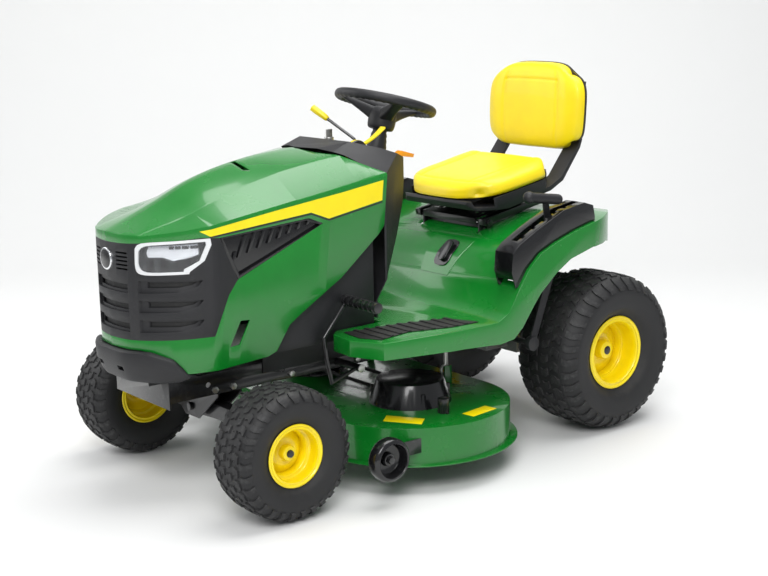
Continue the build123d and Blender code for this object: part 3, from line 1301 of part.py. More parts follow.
def all_nodes():
    """Every part of the machine by name, in the working frame."""
    fy, fz, ry, rz = FRONT_AXLE_Y, FRONT_WHEEL_Z, 0.0, REAR_WHEEL_Z
    nodes = {}
    nodes["frame"] = frame() + steering_bracket() + hood_hinge_bar()
    nodes["bumper"] = bumper()
    nodes["hitch_plate"] = hitch_plate()
    nodes["transaxle"] = transaxle()
    nodes["engine_block"] = engine()
    nodes["engine_shroud"] = engine_shroud() + air_filter()
    nodes["muffler"] = muffler()
    nodes["battery"] = battery() + battery_tray()
    nodes["fuel_tank"] = fuel_tank() + fuel_window()
    nodes["fuel_cap"] = fuel_cap()
    nodes["frame_bolts"] = frame_bolts() + pedal_pins()
    nodes["axle_beam"] = axle_beam()
    nodes["spindle_left"] = spindle_left()
    nodes["spindle_right"] = spindle_right()
    nodes["tie_rod"] = tie_rod()
    nodes["drag_link"] = drag_link()
    nodes["steering_sector"] = sector()
    nodes["steering_lower_shaft"] = lower_shaft()
    nodes["steering_shaft"] = steering_shaft()
    nodes["steering_wheel"] = steering_wheel()
    front_tyre = tyre(FRONT_TYRE_RADIUS, FRONT_TYRE_WIDTH, FRONT_BEAD_RADIUS, FRONT_RIM_HALF_WIDTH)
    rear_tyre = tyre(REAR_TYRE_RADIUS, REAR_TYRE_WIDTH, REAR_BEAD_RADIUS, REAR_RIM_HALF_WIDTH)
    front_bits = front_rim() + valve_stem(14, 60)
    rear_bits = rear_rim() + valve_stem(28, 86)
    nodes["tyre_front_left"] = at(front_tyre, FRONT_WHEEL_X, fy, fz)
    nodes["tyre_front_right"] = at(flip(front_tyre), -FRONT_WHEEL_X, fy, fz)
    nodes["tyre_rear_left"] = at(rear_tyre, REAR_WHEEL_X, ry, rz)
    nodes["tyre_rear_right"] = at(flip(rear_tyre), -REAR_WHEEL_X, ry, rz)
    nodes["rim_front_left"] = at(front_bits, FRONT_WHEEL_X, fy, fz)
    nodes["rim_front_right"] = at(flip(front_bits), -FRONT_WHEEL_X, fy, fz)
    shaft = rear_shaft()
    nodes["rim_rear_left"] = at(rear_bits, REAR_WHEEL_X, ry, rz) + shaft
    nodes["rim_rear_right"] = at(flip(rear_bits), -REAR_WHEEL_X, ry, rz) + flip(shaft)
    nodes["hood_shell"] = hood_shell()
    nodes["grille"] = grille() + badge() + hood_vent() + flip(hood_vent())
    lamp = headlamp() + lamp_reflector()
    nodes["headlamps"] = lamp + flip(lamp)
    nodes["dash_cowl"] = dash_cowl()
    nodes["ignition_key"] = key_switch()
    nodes["side_shields"] = side_shield() + flip(side_shield())
    nodes["fender_body"] = fender_body()
    nodes["consoles"] = console(True) + flip(console(False))
    nodes["foot_mats"] = foot_mat() + flip(foot_mat())
    nodes["seat_plate"] = seat_plate()
    nodes["seat_hinge"] = seat_hinge()
    nodes["seat_pan"] = seat_pan()
    nodes["seat_cushion"] = seat_cushion()
    nodes["back_cushion"] = back_cushion()
    nodes["lift_lever"] = lift_lever() + lift_grip()
    nodes["lift_links"] = lift_link(1) + lift_link(-1)
    nodes["engage_lever"] = mower_engage_lever() + mower_engage_knob()
    nodes["throttle_lever"] = throttle_lever()
    nodes["parking_brake_lever"] = parking_brake_lever()
    nodes["brake_pedal"] = brake_pedal()
    nodes["forward_pedal"] = drive_pedal(-250, 500, 70)
    nodes["reverse_pedal"] = drive_pedal(-335, 470, 50)
    nodes["deck_shell"] = deck_shell()
    nodes["spindle_housings"] = spindle_housings() + deck_fasteners()
    nodes["deck_belt"] = deck_belt()
    nodes["belt_covers"] = belt_cover() + flip(belt_cover())
    nodes["blade_left"] = at(blade_set(), SPINDLE_SPAN, DECK_CENTRE_Y, 0)
    nodes["blade_right"] = at(blade_set(), -SPINDLE_SPAN, DECK_CENTRE_Y, 0)
    nodes["chute_deflector"] = chute_deflector()
    nodes["gauge_wheel_left"] = at(gauge_wheel(), GAUGE_WHEEL_X, GAUGE_WHEEL_Y, GAUGE_WHEEL_Z)
    nodes["gauge_wheel_right"] = at(flip(gauge_wheel()), -GAUGE_WHEEL_X, GAUGE_WHEEL_Y, GAUGE_WHEEL_Z)
    nodes["deck_brackets"] = gauge_bracket() + gauge_bracket_right() + chute_hinge() + wash_port()
    return nodes


def main():
    os.makedirs("parts", exist_ok=True)
    for name, shape in all_nodes().items():
        export_step(at(shape, -ORIGIN_X, -ORIGIN_Y, 0), "parts/" + name + ".step")


if __name__ == "__main__":
    main()
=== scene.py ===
import json
import math

import bmesh
import bpy
from mathutils import Matrix, Vector

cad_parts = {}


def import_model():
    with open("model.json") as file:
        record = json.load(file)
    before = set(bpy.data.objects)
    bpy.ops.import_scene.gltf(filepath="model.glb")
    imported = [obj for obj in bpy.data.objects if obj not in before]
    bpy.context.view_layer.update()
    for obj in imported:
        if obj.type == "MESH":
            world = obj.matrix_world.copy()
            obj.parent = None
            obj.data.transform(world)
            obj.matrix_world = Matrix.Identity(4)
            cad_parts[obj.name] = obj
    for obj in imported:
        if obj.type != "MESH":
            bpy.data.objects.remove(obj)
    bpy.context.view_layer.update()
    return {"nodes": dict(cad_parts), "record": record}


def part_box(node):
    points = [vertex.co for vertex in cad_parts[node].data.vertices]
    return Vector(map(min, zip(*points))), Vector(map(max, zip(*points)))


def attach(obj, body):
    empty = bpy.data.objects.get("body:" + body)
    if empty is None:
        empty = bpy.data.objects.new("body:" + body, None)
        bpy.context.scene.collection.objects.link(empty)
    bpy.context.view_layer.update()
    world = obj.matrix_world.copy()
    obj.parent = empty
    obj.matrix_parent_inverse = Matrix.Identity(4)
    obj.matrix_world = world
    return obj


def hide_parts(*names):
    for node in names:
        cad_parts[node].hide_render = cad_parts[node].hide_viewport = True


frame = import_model()

bl_info = {
    "name": "Riding Mower Dressing",
    "version": (1, 0, 0),
    "blender": (4, 5, 0),
    "location": "3D View > Sidebar > Mower",
    "description": "Builds the looks of a riding lawn mower round its fixed frame",
    "category": "Add Mesh",
}

MM = 0.001


# ---------------------------------------------------------------- places taken from the frame

def middle(node):
    """Middle of a frame node's box, in metres."""
    low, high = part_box(node)
    return Vector([(a + b) / 2 for a, b in zip(low, high)])


def datum():
    """Point on the ground under the middle of the rear axle."""
    left, right = middle("tyre_rear_left"), middle("tyre_rear_right")
    return Vector(((left.x + right.x) / 2, left.y, 0))


DATUM = datum()


def world(point):
    """Millimetres from the rear axle's ground point, in the shared frame's metres."""
    return DATUM + Vector(point) * MM


def local(point):
    """The shared frame's metres as millimetres from the rear axle's ground point."""
    return (Vector(point) - DATUM) / MM


# ---------------------------------------------------------------- outlines and solids

def smooth_line(points, steps=6, closed=False):
    """Catmull-Rom curve through the points, with the given steps between neighbours."""
    count = len(points)
    spans = count if closed else count - 1
    line = []
    for i in range(spans):
        if closed:
            p = [points[(i + k) % count] for k in (-1, 0, 1, 2)]
        else:
            p = [points[max(0, i - 1)], points[i], points[i + 1], points[min(count - 1, i + 2)]]
        for s in range(steps):
            t = s / steps
            line.append(tuple(catmull(a, b, c, d, t) for a, b, c, d in zip(*p)))
    if not closed:
        line.append(tuple(points[-1]))
    return line


def catmull(a, b, c, d, t):
    """One coordinate of a Catmull-Rom span."""
    return 0.5 * (2 * b + (c - a) * t + (2 * a - 5 * b + 4 * c - d) * t * t
                  + (3 * b - a - 3 * c + d) * t ** 3)


def both_sides(points):
    """Half outline with x > 0 completed with its mirror image."""
    return list(points) + [(-x, v) for x, v in reversed(points) if x > 0]


def new_object(name, bm):
    """Object from a bmesh in millimetres, with outward normals."""
    bmesh.ops.recalc_face_normals(bm, faces=bm.faces)
    for vert in bm.verts:
        vert.co = world(vert.co)
    mesh = bpy.data.meshes.new(name)
    bm.to_mesh(mesh)
    bm.free()
    obj = bpy.data.objects.new(name, mesh)
    bpy.context.scene.collection.objects.link(obj)
    return obj


def prism(name, outline, axis, low, high):
    """Outline pushed along an axis. The outline is (Y, Z) for X, (X, Z) for Y and (X, Y) for Z."""
    bm = bmesh.new()
    ends = []
    for level in (low, high):
        ring = []
        for a, b in outline:
            spot = {"X": (level, a, b), "Y": (a, level, b), "Z": (a, b, level)}[axis]
            ring.append(bm.verts.new(spot))
        ends.append(ring)
    join_rings(bm, ends)
    bm.faces.new(ends[0])
    bm.faces.new(ends[1])
    return new_object(name, bm)


def join_rings(bm, rings):
    """Quads between each closed ring of vertices and the next."""
    for one, two in zip(rings, rings[1:]):
        count = len(one)
        for i in range(count):
            j = (i + 1) % count
            bm.faces.new((one[i], one[j], two[j], two[i]))


def loft(name, sections, cap=True):
    """Closed solid through rings of points with the same count."""
    bm = bmesh.new()
    rings = [[bm.verts.new(p) for p in ring] for ring in sections]
    join_rings(bm, rings)
    if cap:
        bm.faces.new(rings[0])
        bm.faces.new(rings[-1])
    return new_object(name, bm)


def turned(name, profile, centre, steps=96, mirror=1):
    """Solid turned about an X axis from a closed (distance along X, radius) profile."""
    bm = bmesh.new()
    rings = []
    for k in range(steps):
        a = 2 * math.pi * k / steps
        cosine, sine = math.cos(a), math.sin(a)
        rings.append([bm.verts.new((centre[0] + mirror * x, centre[1] + r * cosine, centre[2] + r * sine))
                      for x, r in profile])
    join_rings(bm, rings + rings[:1])
    return new_object(name, bm)


def tube(name, points, radius, sides=16, cap=True):
    """Round bar along a smooth line of points, in millimetres."""
    line = [Vector(p) for p in points]
    bm = bmesh.new()
    rings = []
    normal = (line[1] - line[0]).orthogonal().normalized()
    for i, spot in enumerate(line):
        along = (line[min(i + 1, len(line) - 1)] - line[max(i - 1, 0)]).normalized()
        normal = (normal - along * normal.dot(along)).normalized()
        other = along.cross(normal)
        size = radius(i / (len(line) - 1)) if callable(radius) else radius
        ring = []
        for k in range(sides):
            a = 2 * math.pi * k / sides
            ring.append(bm.verts.new(spot + (normal * math.cos(a) + other * math.sin(a)) * size))
        rings.append(ring)
    join_rings(bm, rings)
    if cap:
        bm.faces.new(rings[0])
        bm.faces.new(rings[-1])
    return new_object(name, bm)


def apply_modifiers(obj):
    """Turns what the modifiers give into a plain mesh and removes them."""
    graph = bpy.context.evaluated_depsgraph_get()
    mesh = bpy.data.meshes.new_from_object(obj.evaluated_get(graph), depsgraph=graph)
    obj.modifiers.clear()
    obj.data = mesh
    return obj


def drop(*objects):
    """Removes helper objects."""
    for obj in objects:
        bpy.data.objects.remove(obj)


def combine(target, cutter, operation):
    """Boolean of two closed solids: DIFFERENCE, INTERSECT or UNION."""
    mod = target.modifiers.new("cut", "BOOLEAN")
    mod.object = cutter
    mod.operation = operation
    mod.solver = "EXACT"
    apply_modifiers(target)
    drop(cutter)
    return target


def joined(name, objects):
    """One object with the meshes of several that are all at the origin."""
    bm = bmesh.new()
    materials = []
    for obj in objects:
        start = len(bm.faces)
        bm.from_mesh(obj.data)
        bm.faces.ensure_lookup_table()
        shift = len(materials)
        for face in bm.faces[start:]:
            face.material_index += shift
        materials += [m for m in obj.data.materials] or [None]
    mesh = bpy.data.meshes.new(name)
    bm.to_mesh(mesh)
    bm.free()
    for material in materials:
        mesh.materials.append(material)
    whole = bpy.data.objects.new(name, mesh)
    bpy.context.scene.collection.objects.link(whole)
    drop(*objects)
    return whole


def rounded(obj, width, segments=2, angle=32):
    """Rounds the sharp edges, width in millimetres, and shades the piece smooth."""
    weld = obj.modifiers.new("weld", "WELD")
    weld.merge_threshold = 0.00001
    bevel = obj.modifiers.new("bevel", "BEVEL")
    bevel.width = width * MM
    bevel.segments = segments
    bevel.limit_method = "ANGLE"
    bevel.angle_limit = math.radians(angle)
    bevel.harden_normals = False
    bevel.use_clamp_overlap = True
    apply_modifiers(obj)
    return shaded(obj, angle)


def shaded(obj, angle=32):
    """Smooth shading with edges sharper than the angle kept."""
    obj.data.shade_smooth()
    bm = bmesh.new()
    bm.from_mesh(obj.data)
    limit = math.radians(angle)
    for edge in bm.edges:
        edge.smooth = len(edge.link_faces) == 2 and edge.calc_face_angle(0) < limit
    bm.to_mesh(obj.data)
    bm.free()
    return obj


def dressed(obj, material, body, slot, *nodes):
    """Gives a finished piece its material and body and hides the frame nodes that it stands for. The slot is
    not used.
    """
    if material is not None:
        obj.data.materials.clear()
        obj.data.materials.append(MATERIALS[material])
    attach(obj, body)
    if nodes:
        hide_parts(*nodes)
    return obj


# ---------------------------------------------------------------- shader node groups

def group_frame(name, inputs, outputs):
    """Empty shader group with its named sockets."""
    group = bpy.data.node_groups.new(name, "ShaderNodeTree")
    for label, kind, value in inputs:
        socket = group.interface.new_socket(name=label, in_out="INPUT", socket_type=kind)
        if value is not None:
            socket.default_value = value
    for label, kind in outputs:
        group.interface.new_socket(name=label, in_out="OUTPUT", socket_type=kind)
    start = group.nodes.new("NodeGroupInput")
    end = group.nodes.new("NodeGroupOutput")
    start.location, end.location = (-600, 0), (600, 0)
    return group, start, end


def node(tree, kind, x, y, **settings):
    """New node at a place, with constants set on its sockets by name."""
    made = tree.nodes.new(kind)
    made.location = (x, y)
    for key, value in settings.items():
        if key in made.inputs:
            made.inputs[key].default_value = value
        else:
            setattr(made, key, value)
    return made


def wire(tree, *runs):
    """Links between nodes, each as source node, its output, target node, its input."""
    for source, output, target, socket in runs:
        tree.links.new(source.outputs[output], target.inputs[socket])


def grain_group():
    """Fine surface height and a slow colour mottle."""
    group, start, end = group_frame(
        "surface_grain",
        [("Vector", "NodeSocketVector", None), ("Grain Scale", "NodeSocketFloat", 900.0),
         ("Mottle Scale", "NodeSocketFloat", 9.0)],
        [("Height", "NodeSocketFloat"), ("Mottle", "NodeSocketFloat")])
    fine = node(group, "ShaderNodeTexNoise", -300, 120, Detail=3.0, Roughness=0.6)
    slow = node(group, "ShaderNodeTexNoise", -300, -160, Detail=4.0, Roughness=0.55)
    wire(group, (start, "Vector", fine, "Vector"), (start, "Grain Scale", fine, "Scale"),
         (start, "Vector", slow, "Vector"), (start, "Mottle Scale", slow, "Scale"),
         (fine, "Fac", end, "Height"), (slow, "Fac", end, "Mottle"))
    return group


def pebble_group():
    """Cell-like leather height with pores."""
    group, start, end = group_frame(
        "pebble_grain",
        [("Vector", "NodeSocketVector", None), ("Cell Scale", "NodeSocketFloat", 480.0)],
        [("Height", "NodeSocketFloat")])
    cells = node(group, "ShaderNodeTexVoronoi", -340, 100, feature="DISTANCE_TO_EDGE", Randomness=1.0)
    ramp = node(group, "ShaderNodeMapRange", -100, 100)
    ramp.inputs["From Max"].default_value = 0.14
    fine = node(group, "ShaderNodeTexNoise", -340, -180, Scale=1600.0, Detail=2.0)
    add = node(group, "ShaderNodeMath", 180, 0, operation="MULTIPLY_ADD")
    add.inputs[1].default_value = 0.25
    wire(group, (start, "Vector", cells, "Vector"), (start, "Cell Scale", cells, "Scale"),
         (cells, "Distance", ramp, "Value"), (start, "Vector", fine, "Vector"), (fine, "Fac", add, 0),
         (ramp, "Result", add, 2), (add, "Value", end, "Height"))
    return group


def edge_highlight_group():
    """Mask of a painted edge highlight: white along outer edges, broken up by noise."""
    group, start, end = group_frame(
        "painted_edge_highlight",
        [("Vector", "NodeSocketVector", None), ("Amount", "NodeSocketFloat", 0.3)],
        [("Mask", "NodeSocketFloat")])
    shape = node(group, "ShaderNodeNewGeometry", -420, 160)
    edge = node(group, "ShaderNodeMapRange", -180, 160)
    edge.inputs["From Min"].default_value = 0.52
    edge.inputs["From Max"].default_value = 0.62
    noise = node(group, "ShaderNodeTexNoise", -420, -120, Scale=70.0, Detail=6.0, Roughness=0.7)
    broken = node(group, "ShaderNodeMapRange", -180, -120)
    broken.inputs["From Min"].default_value = 0.48
    broken.inputs["From Max"].default_value = 0.66
    both = node(group, "ShaderNodeMath", 80, 40, operation="MULTIPLY")
    scaled = node(group, "ShaderNodeMath", 300, 40, operation="MULTIPLY")
    wire(group, (shape, "Pointiness", edge, "Value"), (start, "Vector", noise, "Vector"),
         (noise, "Fac", broken, "Value"), (edge, "Result", both, 0), (broken, "Result", both, 1),
         (both, "Value", scaled, 0), (start, "Amount", scaled, 1), (scaled, "Value", end, "Mask"))
    return group


def dust_group():
    """Mask of light dust on faces that look up."""
    group, start, end = group_frame(
        "settled_dust",
        [("Vector", "NodeSocketVector", None), ("Amount", "NodeSocketFloat", 0.1)],
        [("Mask", "NodeSocketFloat")])
    shape = node(group, "ShaderNodeNewGeometry", -520, 160)
    split = node(group, "ShaderNodeSeparateXYZ", -320, 160)
    upward = node(group, "ShaderNodeMapRange", -120, 160)
    upward.inputs["From Min"].default_value = 0.1
    noise = node(group, "ShaderNodeTexNoise", -320, -120, Scale=38.0, Detail=8.0, Roughness=0.65)
    patch = node(group, "ShaderNodeMapRange", -120, -120)
    patch.inputs["From Min"].default_value = 0.4
    patch.inputs["From Max"].default_value = 0.75
    both = node(group, "ShaderNodeMath", 100, 40, operation="MULTIPLY")
    scaled = node(group, "ShaderNodeMath", 300, 40, operation="MULTIPLY")
    wire(group, (shape, "Normal", split, "Vector"), (split, "Z", upward, "Value"),
         (start, "Vector", noise, "Vector"), (noise, "Fac", patch, "Value"), (upward, "Result", both, 0),
         (patch, "Result", both, 1), (both, "Value", scaled, 0), (start, "Amount", scaled, 1),
         (scaled, "Value", end, "Mask"))
    return group


# ---------------------------------------------------------------- materials

# name: colour, roughness, metallic, coat, grain scale, bump in mm, edge highlight colour, highlight amount,
# dust, pebbled
# The edge highlight is painted light: a lighter tint of each finish laid along outer edges.
FINISHES = {
    "green_paint": ((0.002, 0.185, 0.016), 0.26, 0.0, 0.5, 260.0, 0.010, (0.01, 0.30, 0.04), 0.2, 0.012,
                    False),
    "deck_green": ((0.002, 0.165, 0.014), 0.28, 0.0, 0.5, 300.0, 0.015, (0.02, 0.30, 0.04), 0.3, 0.03, False),
    "yellow_paint": ((0.98, 0.72, 0.000), 0.34, 0.0, 0.4, 260.0, 0.012, (1.0, 0.80, 0.03), 0.2, 0.02, False),
    "black_paint": ((0.007, 0.007, 0.008), 0.34, 0.0, 0.35, 420.0, 0.025, (0.06, 0.06, 0.06), 0.4, 0.02,
                    False),
    "charcoal_plastic": ((0.011, 0.011, 0.013), 0.50, 0.0, 0.0, 900.0, 0.045, (0.035, 0.035, 0.038), 0.3,
                         0.012, True),
    "gloss_black_plastic": ((0.006, 0.006, 0.007), 0.22, 0.0, 0.25, 500.0, 0.008, (0.03, 0.03, 0.03), 0.2,
                            0.012, False),
    "rubber_black": ((0.010, 0.010, 0.010), 0.62, 0.0, 0.0, 1100.0, 0.040, (0.04, 0.04, 0.04), 0.3, 0.03,
                     False),
    "tyre_rubber": ((0.012, 0.012, 0.013), 0.62, 0.0, 0.0, 700.0, 0.060, (0.05, 0.05, 0.05), 0.6, 0.05,
                    False),
    "yellow_vinyl": ((0.97, 0.71, 0.000), 0.44, 0.0, 0.15, 900.0, 0.080, (1.0, 0.78, 0.02), 0.2, 0.01, True),
    "yellow_plastic": ((0.98, 0.74, 0.000), 0.34, 0.0, 0.2, 500.0, 0.012, (1.0, 0.80, 0.03), 0.2, 0.01,
                       False),
    "orange_plastic": ((0.95, 0.33, 0.002), 0.34, 0.0, 0.3, 500.0, 0.012, (0.98, 0.42, 0.02), 0.2, 0.02,
                       False),
    "zinc_steel": ((0.52, 0.52, 0.50), 0.36, 1.0, 0.0, 700.0, 0.020, (0.75, 0.75, 0.74), 0.5, 0.10, False),
    "cast_aluminium": ((0.42, 0.42, 0.42), 0.52, 0.9, 0.0, 420.0, 0.090, (0.66, 0.66, 0.66), 0.5, 0.15, True),
    "natural_plastic": ((0.62, 0.60, 0.53), 0.40, 0.0, 0.1, 500.0, 0.030, (0.75, 0.73, 0.66), 0.2, 0.08,
                        False),
    "chrome": ((0.82, 0.83, 0.85), 0.10, 1.0, 0.0, 300.0, 0.004, (0.9, 0.9, 0.9), 0.1, 0.02, False),
    "white_trim": ((0.74, 0.75, 0.76), 0.26, 0.0, 0.5, 500.0, 0.008, (0.85, 0.85, 0.85), 0.1, 0.03, False),
}
MATERIALS = {}
DUST_COLOUR = (0.42, 0.39, 0.33, 1.0)


def make_finish(name, groups):
    """Procedural material from one row of the finish table."""
    colour, rough, metal, coat, grain, bump, edge, edge_highlight, dust, pebbled = FINISHES[name]
    material = bpy.data.materials.new(name)
    material.use_nodes = True
    tree = material.node_tree
    tree.nodes.clear()
    place = node(tree, "ShaderNodeTexCoord", -1100, 0)
    surface = node(tree, "ShaderNodeBsdfPrincipled", 300, 0, Metallic=metal)
    surface.inputs["Coat Weight"].default_value = coat
    surface.inputs["Coat Roughness"].default_value = 0.06
    out = node(tree, "ShaderNodeOutputMaterial", 620, 0)
    fine = node(tree, "ShaderNodeGroup", -860, 200)
    fine.node_tree = groups["grain"]
    fine.inputs["Grain Scale"].default_value = grain
    # Painted highlight: a lighter tint of the colour along outer edges, masked by the group below.
    highlight_mask = node(tree, "ShaderNodeGroup", -860, -40)
    highlight_mask.node_tree = groups["edge_highlight"]
    highlight_mask.inputs["Amount"].default_value = edge_highlight
    dusty = node(tree, "ShaderNodeGroup", -860, -240)
    dusty.node_tree = groups["dust"]
    dusty.inputs["Amount"].default_value = dust
    darker = tuple(c * 0.86 for c in colour) + (1.0,)
    lighter = tuple(min(1.0, c * 1.12) for c in colour) + (1.0,)
    mottle = node(tree, "ShaderNodeMix", -560, 260, data_type="RGBA")
    set_rgba(mottle, darker, lighter)
    # Mixes the painted edge highlight colour over the mottled colour.
    with_highlight = node(tree, "ShaderNodeMix", -300, 200, data_type="RGBA")
    set_rgba(with_highlight, None, tuple(edge) + (1.0,))
    with_dust = node(tree, "ShaderNodeMix", -60, 160, data_type="RGBA")
    set_rgba(with_dust, None, DUST_COLOUR)
    roughness = node(tree, "ShaderNodeMath", -60, -60, operation="MULTIPLY_ADD")
    roughness.inputs[1].default_value = 0.6
    roughness.inputs[2].default_value = rough - 0.3 * 0.2
    spread = node(tree, "ShaderNodeMath", -300, -60, operation="MULTIPLY")
    spread.inputs[1].default_value = 0.2
    relief = node(tree, "ShaderNodeBump", 40, -260, Strength=1.0, Distance=bump * MM)
    for group_node in (fine, highlight_mask, dusty):
        wire(tree, (place, "Object", group_node, "Vector"))
    wire(tree, (fine, "Mottle", mottle, "Factor"), (mottle, 2, with_highlight, 6),
         (highlight_mask, "Mask", with_highlight, "Factor"), (with_highlight, 2, with_dust, 6),
         (dusty, "Mask", with_dust, "Factor"), (with_dust, 2, surface, "Base Color"),
         (fine, "Mottle", spread, 0), (spread, "Value", roughness, 0),
         (roughness, "Value", surface, "Roughness"))
    if pebbled:
        cells = node(tree, "ShaderNodeGroup", -560, -320)
        cells.node_tree = groups["pebble"]
        wire(tree, (place, "Object", cells, "Vector"), (cells, "Height", relief, "Height"))
    else:
        wire(tree, (fine, "Height", relief, "Height"))
    wire(tree, (relief, "Normal", surface, "Normal"), (surface, "BSDF", out, "Surface"))
    return material


def set_rgba(mix, first, second):
    """Constants on the colour sockets of a Mix node."""
    if first is not None:
        mix.inputs[6].default_value = first
    if second is not None:
        mix.inputs[7].default_value = second


def make_lens():
    """Clear moulded lens with fine vertical flutes."""
    material = bpy.data.materials.new("clear_lens")
    material.use_nodes = True
    tree = material.node_tree
    surface = tree.nodes["Principled BSDF"]
    surface.inputs["Base Color"].default_value = (0.94, 0.95, 0.97, 1.0)
    surface.inputs["Roughness"].default_value = 0.04
    surface.inputs["Transmission Weight"].default_value = 0.95
    surface.inputs["IOR"].default_value = 1.3
    place = node(tree, "ShaderNodeTexCoord", -700, -200)
    flutes = node(tree, "ShaderNodeTexWave", -460, -200, Scale=60.0, Distortion=0.0)
    relief = node(tree, "ShaderNodeBump", -220, -200, Strength=0.3, Distance=0.0004)
    wire(tree, (place, "Object", flutes, "Vector"), (flutes, "Fac", relief, "Height"),
         (relief, "Normal", surface, "Normal"))
    return material


def make_materials():
    """All finishes, with their shared node groups built once."""
    # One of these groups paints a lighter highlight along outer edges.
    groups = {"grain": grain_group(), "pebble": pebble_group(), "edge_highlight": edge_highlight_group(), "dust": dust_group()}
    for name in FINISHES:
        MATERIALS[name] = make_finish(name, groups)
    MATERIALS["clear_lens"] = make_lens()


def node_slots():
    """Material slot of each frame node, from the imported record."""
    return {row["node"]: row["material_slot"] for row in frame["record"]["subparts"]}


def node_bodies():
    """Body of each frame node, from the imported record."""
    bodies = frame["record"]["behaviour"]["bodies"]
    return {name: body for body, names in bodies.items() for name in names}


# ---------------------------------------------------------------- plain parts, refined from the frame

# Frame nodes that look different from their material slot
OTHER_LOOKS = {"deck_shell": "deck_green", "fuel_tank": "gloss_black_plastic", "seat_hinge": "black_paint"}
# Edge rounding in millimetres for the frame nodes that keep their shape
ROUNDING = {
    "frame": 1.0, "hitch_plate": 1.2, "transaxle": 4.0, "engine_block": 3.0, "engine_shroud": 4.0,
    "muffler": 2.0,
    "battery": 2.0, "fuel_tank": 5.0, "fuel_cap": 1.0, "frame_bolts": 0.6, "axle_beam": 2.0,
    "spindle_left": 0.8,
    "spindle_right": 0.8, "tie_rod": 0.6, "drag_link": 0.6, "steering_sector": 0.4,
    "steering_lower_shaft": 0.4,
    "steering_shaft": 0.6, "side_shields": 1.0, "seat_hinge": 0.8,
    "seat_plate": 2.0, "lift_links": 0.6, "spindle_housings": 1.5, "deck_belt": 0.8, "blade_left": 0.6,
    "blade_right": 0.6, "chute_deflector": 1.2, "deck_brackets": 0.8, "parking_brake_lever": 2.0,
    "ignition_key": 1.0, "brake_pedal": 0.8, "forward_pedal": 1.5, "reverse_pedal": 1.5,
    "consoles": 3.0, "dash_cowl": 3.0, "fender_body": 7.0, "belt_covers": 3.0, "seat_pan": 3.0,
    "gauge_wheel_left": 2.0, "gauge_wheel_right": 2.0, "deck_shell": 5.0,
    "foot_mats": 0.8, "lift_lever": 1.5,
}


def refined(name, width):
    """Copy of a frame node with its edges rounded."""
    source = frame["nodes"][name]
    obj = bpy.data.objects.new(name + "_skin", source.data.copy())
    bpy.context.scene.collection.objects.link(obj)
    flat = bmesh.new()
    flat.from_mesh(obj.data)
    bmesh.ops.remove_doubles(flat, verts=flat.verts, dist=0.00001)
    bmesh.ops.dissolve_limit(flat, angle_limit=math.radians(1.0), verts=flat.verts, edges=flat.edges)
    flat.to_mesh(obj.data)
    flat.free()
    return rounded(obj, width, segments=3 if width > 2.5 else 2)


def build_plain_parts(settings):
    """Every node in the rounding table, with a little more or less rounding as set."""
    slots, bodies = node_slots(), node_bodies()
    for name, width in ROUNDING.items():
        material = OTHER_LOOKS.get(name, slots[name])
        obj = refined(name, width * settings.rounding)
        if name == "dash_cowl":
            lower_cowl_edge(obj)
        dressed(obj, material, bodies[name], slots[name], name)


COWL_BLEND = 60.0


def lower_cowl_edge(obj):
    """Lets the front edge of the cowl's top settle onto the hood behind it."""
    for vert in obj.data.vertices:
        x, y, z = local(vert.co)
        edge = cowl_edge(abs(x))
        if y > edge + COWL_BLEND or z < hood_height(abs(x), y) - 12:
            continue
        share = max(0.0, 1 - max(0.0, y - edge) / COWL_BLEND)
        vert.co.z -= MM * share * max(0.0, z - hood_height(abs(x), y) - 3)


def cowl_edge(x):
    """Rear edge of the hood at a distance from the middle."""
    return -899 + 55 * x / 150 if x < 150 else -844 + 110 * (x - 150) / 88


def hood_height(x, y):
    """Height of the hood's outside near its rear edge."""
    rows = [row for row in HOOD_STATIONS if row[0] >= -1000]
    for one, two in zip(rows, rows[1:]):
        if y <= two[0]:
            break
    t = min(1.0, max(0.0, (y - one[0]) / (two[0] - one[0])))
    crease_x, crease_z, side_z, crown_z = (a + (b - a) * t for a, b in zip(one[1:], two[1:]))
    if x < crease_x:
        return crown_z + (crease_z - crown_z) * (x / crease_x) ** 2
    return crease_z + (side_z - crease_z) * (x - crease_x) / (HOOD_HALF - crease_x)


# ---------------------------------------------------------------- wheels

WHEELS = ("front_left", "front_right", "rear_left", "rear_right")


def tyre_profile(radius, width, bead, seat):
    """Half section of a turf tyre, bead to middle of tread, as (distance from middle, radius)."""
    half, depth = width / 2, radius - bead
    points = [(seat, bead + 0.5), (seat + 1, bead + 0.12 * depth), (half - 9, bead + 0.30 * depth),
              (half - 1.5, bead + 0.52 * depth), (half - 2.5, bead + 0.70 * depth),
              (half - 0.085 * width, bead + 0.85 * depth), (0.31 * width, radius - 9.5),
              (0.16 * width, radius - 7), (0, radius - 6.5)]
    return smooth_line(points, 5)


def along_profile(profile, distance):
    """Point and outward normal at a distance along the profile from the middle of the tread."""
    line = list(reversed(profile))
    for (x0, r0), (x1, r1) in zip(line, line[1:]):
        step = math.hypot(x1 - x0, r1 - r0)
        if distance <= step:
            t = distance / step
            return (x0 + (x1 - x0) * t, r0 + (r1 - r0) * t), ((r0 - r1) / step, (x1 - x0) / step)
        distance -= step
    return line[-1], (1.0, 0.0)


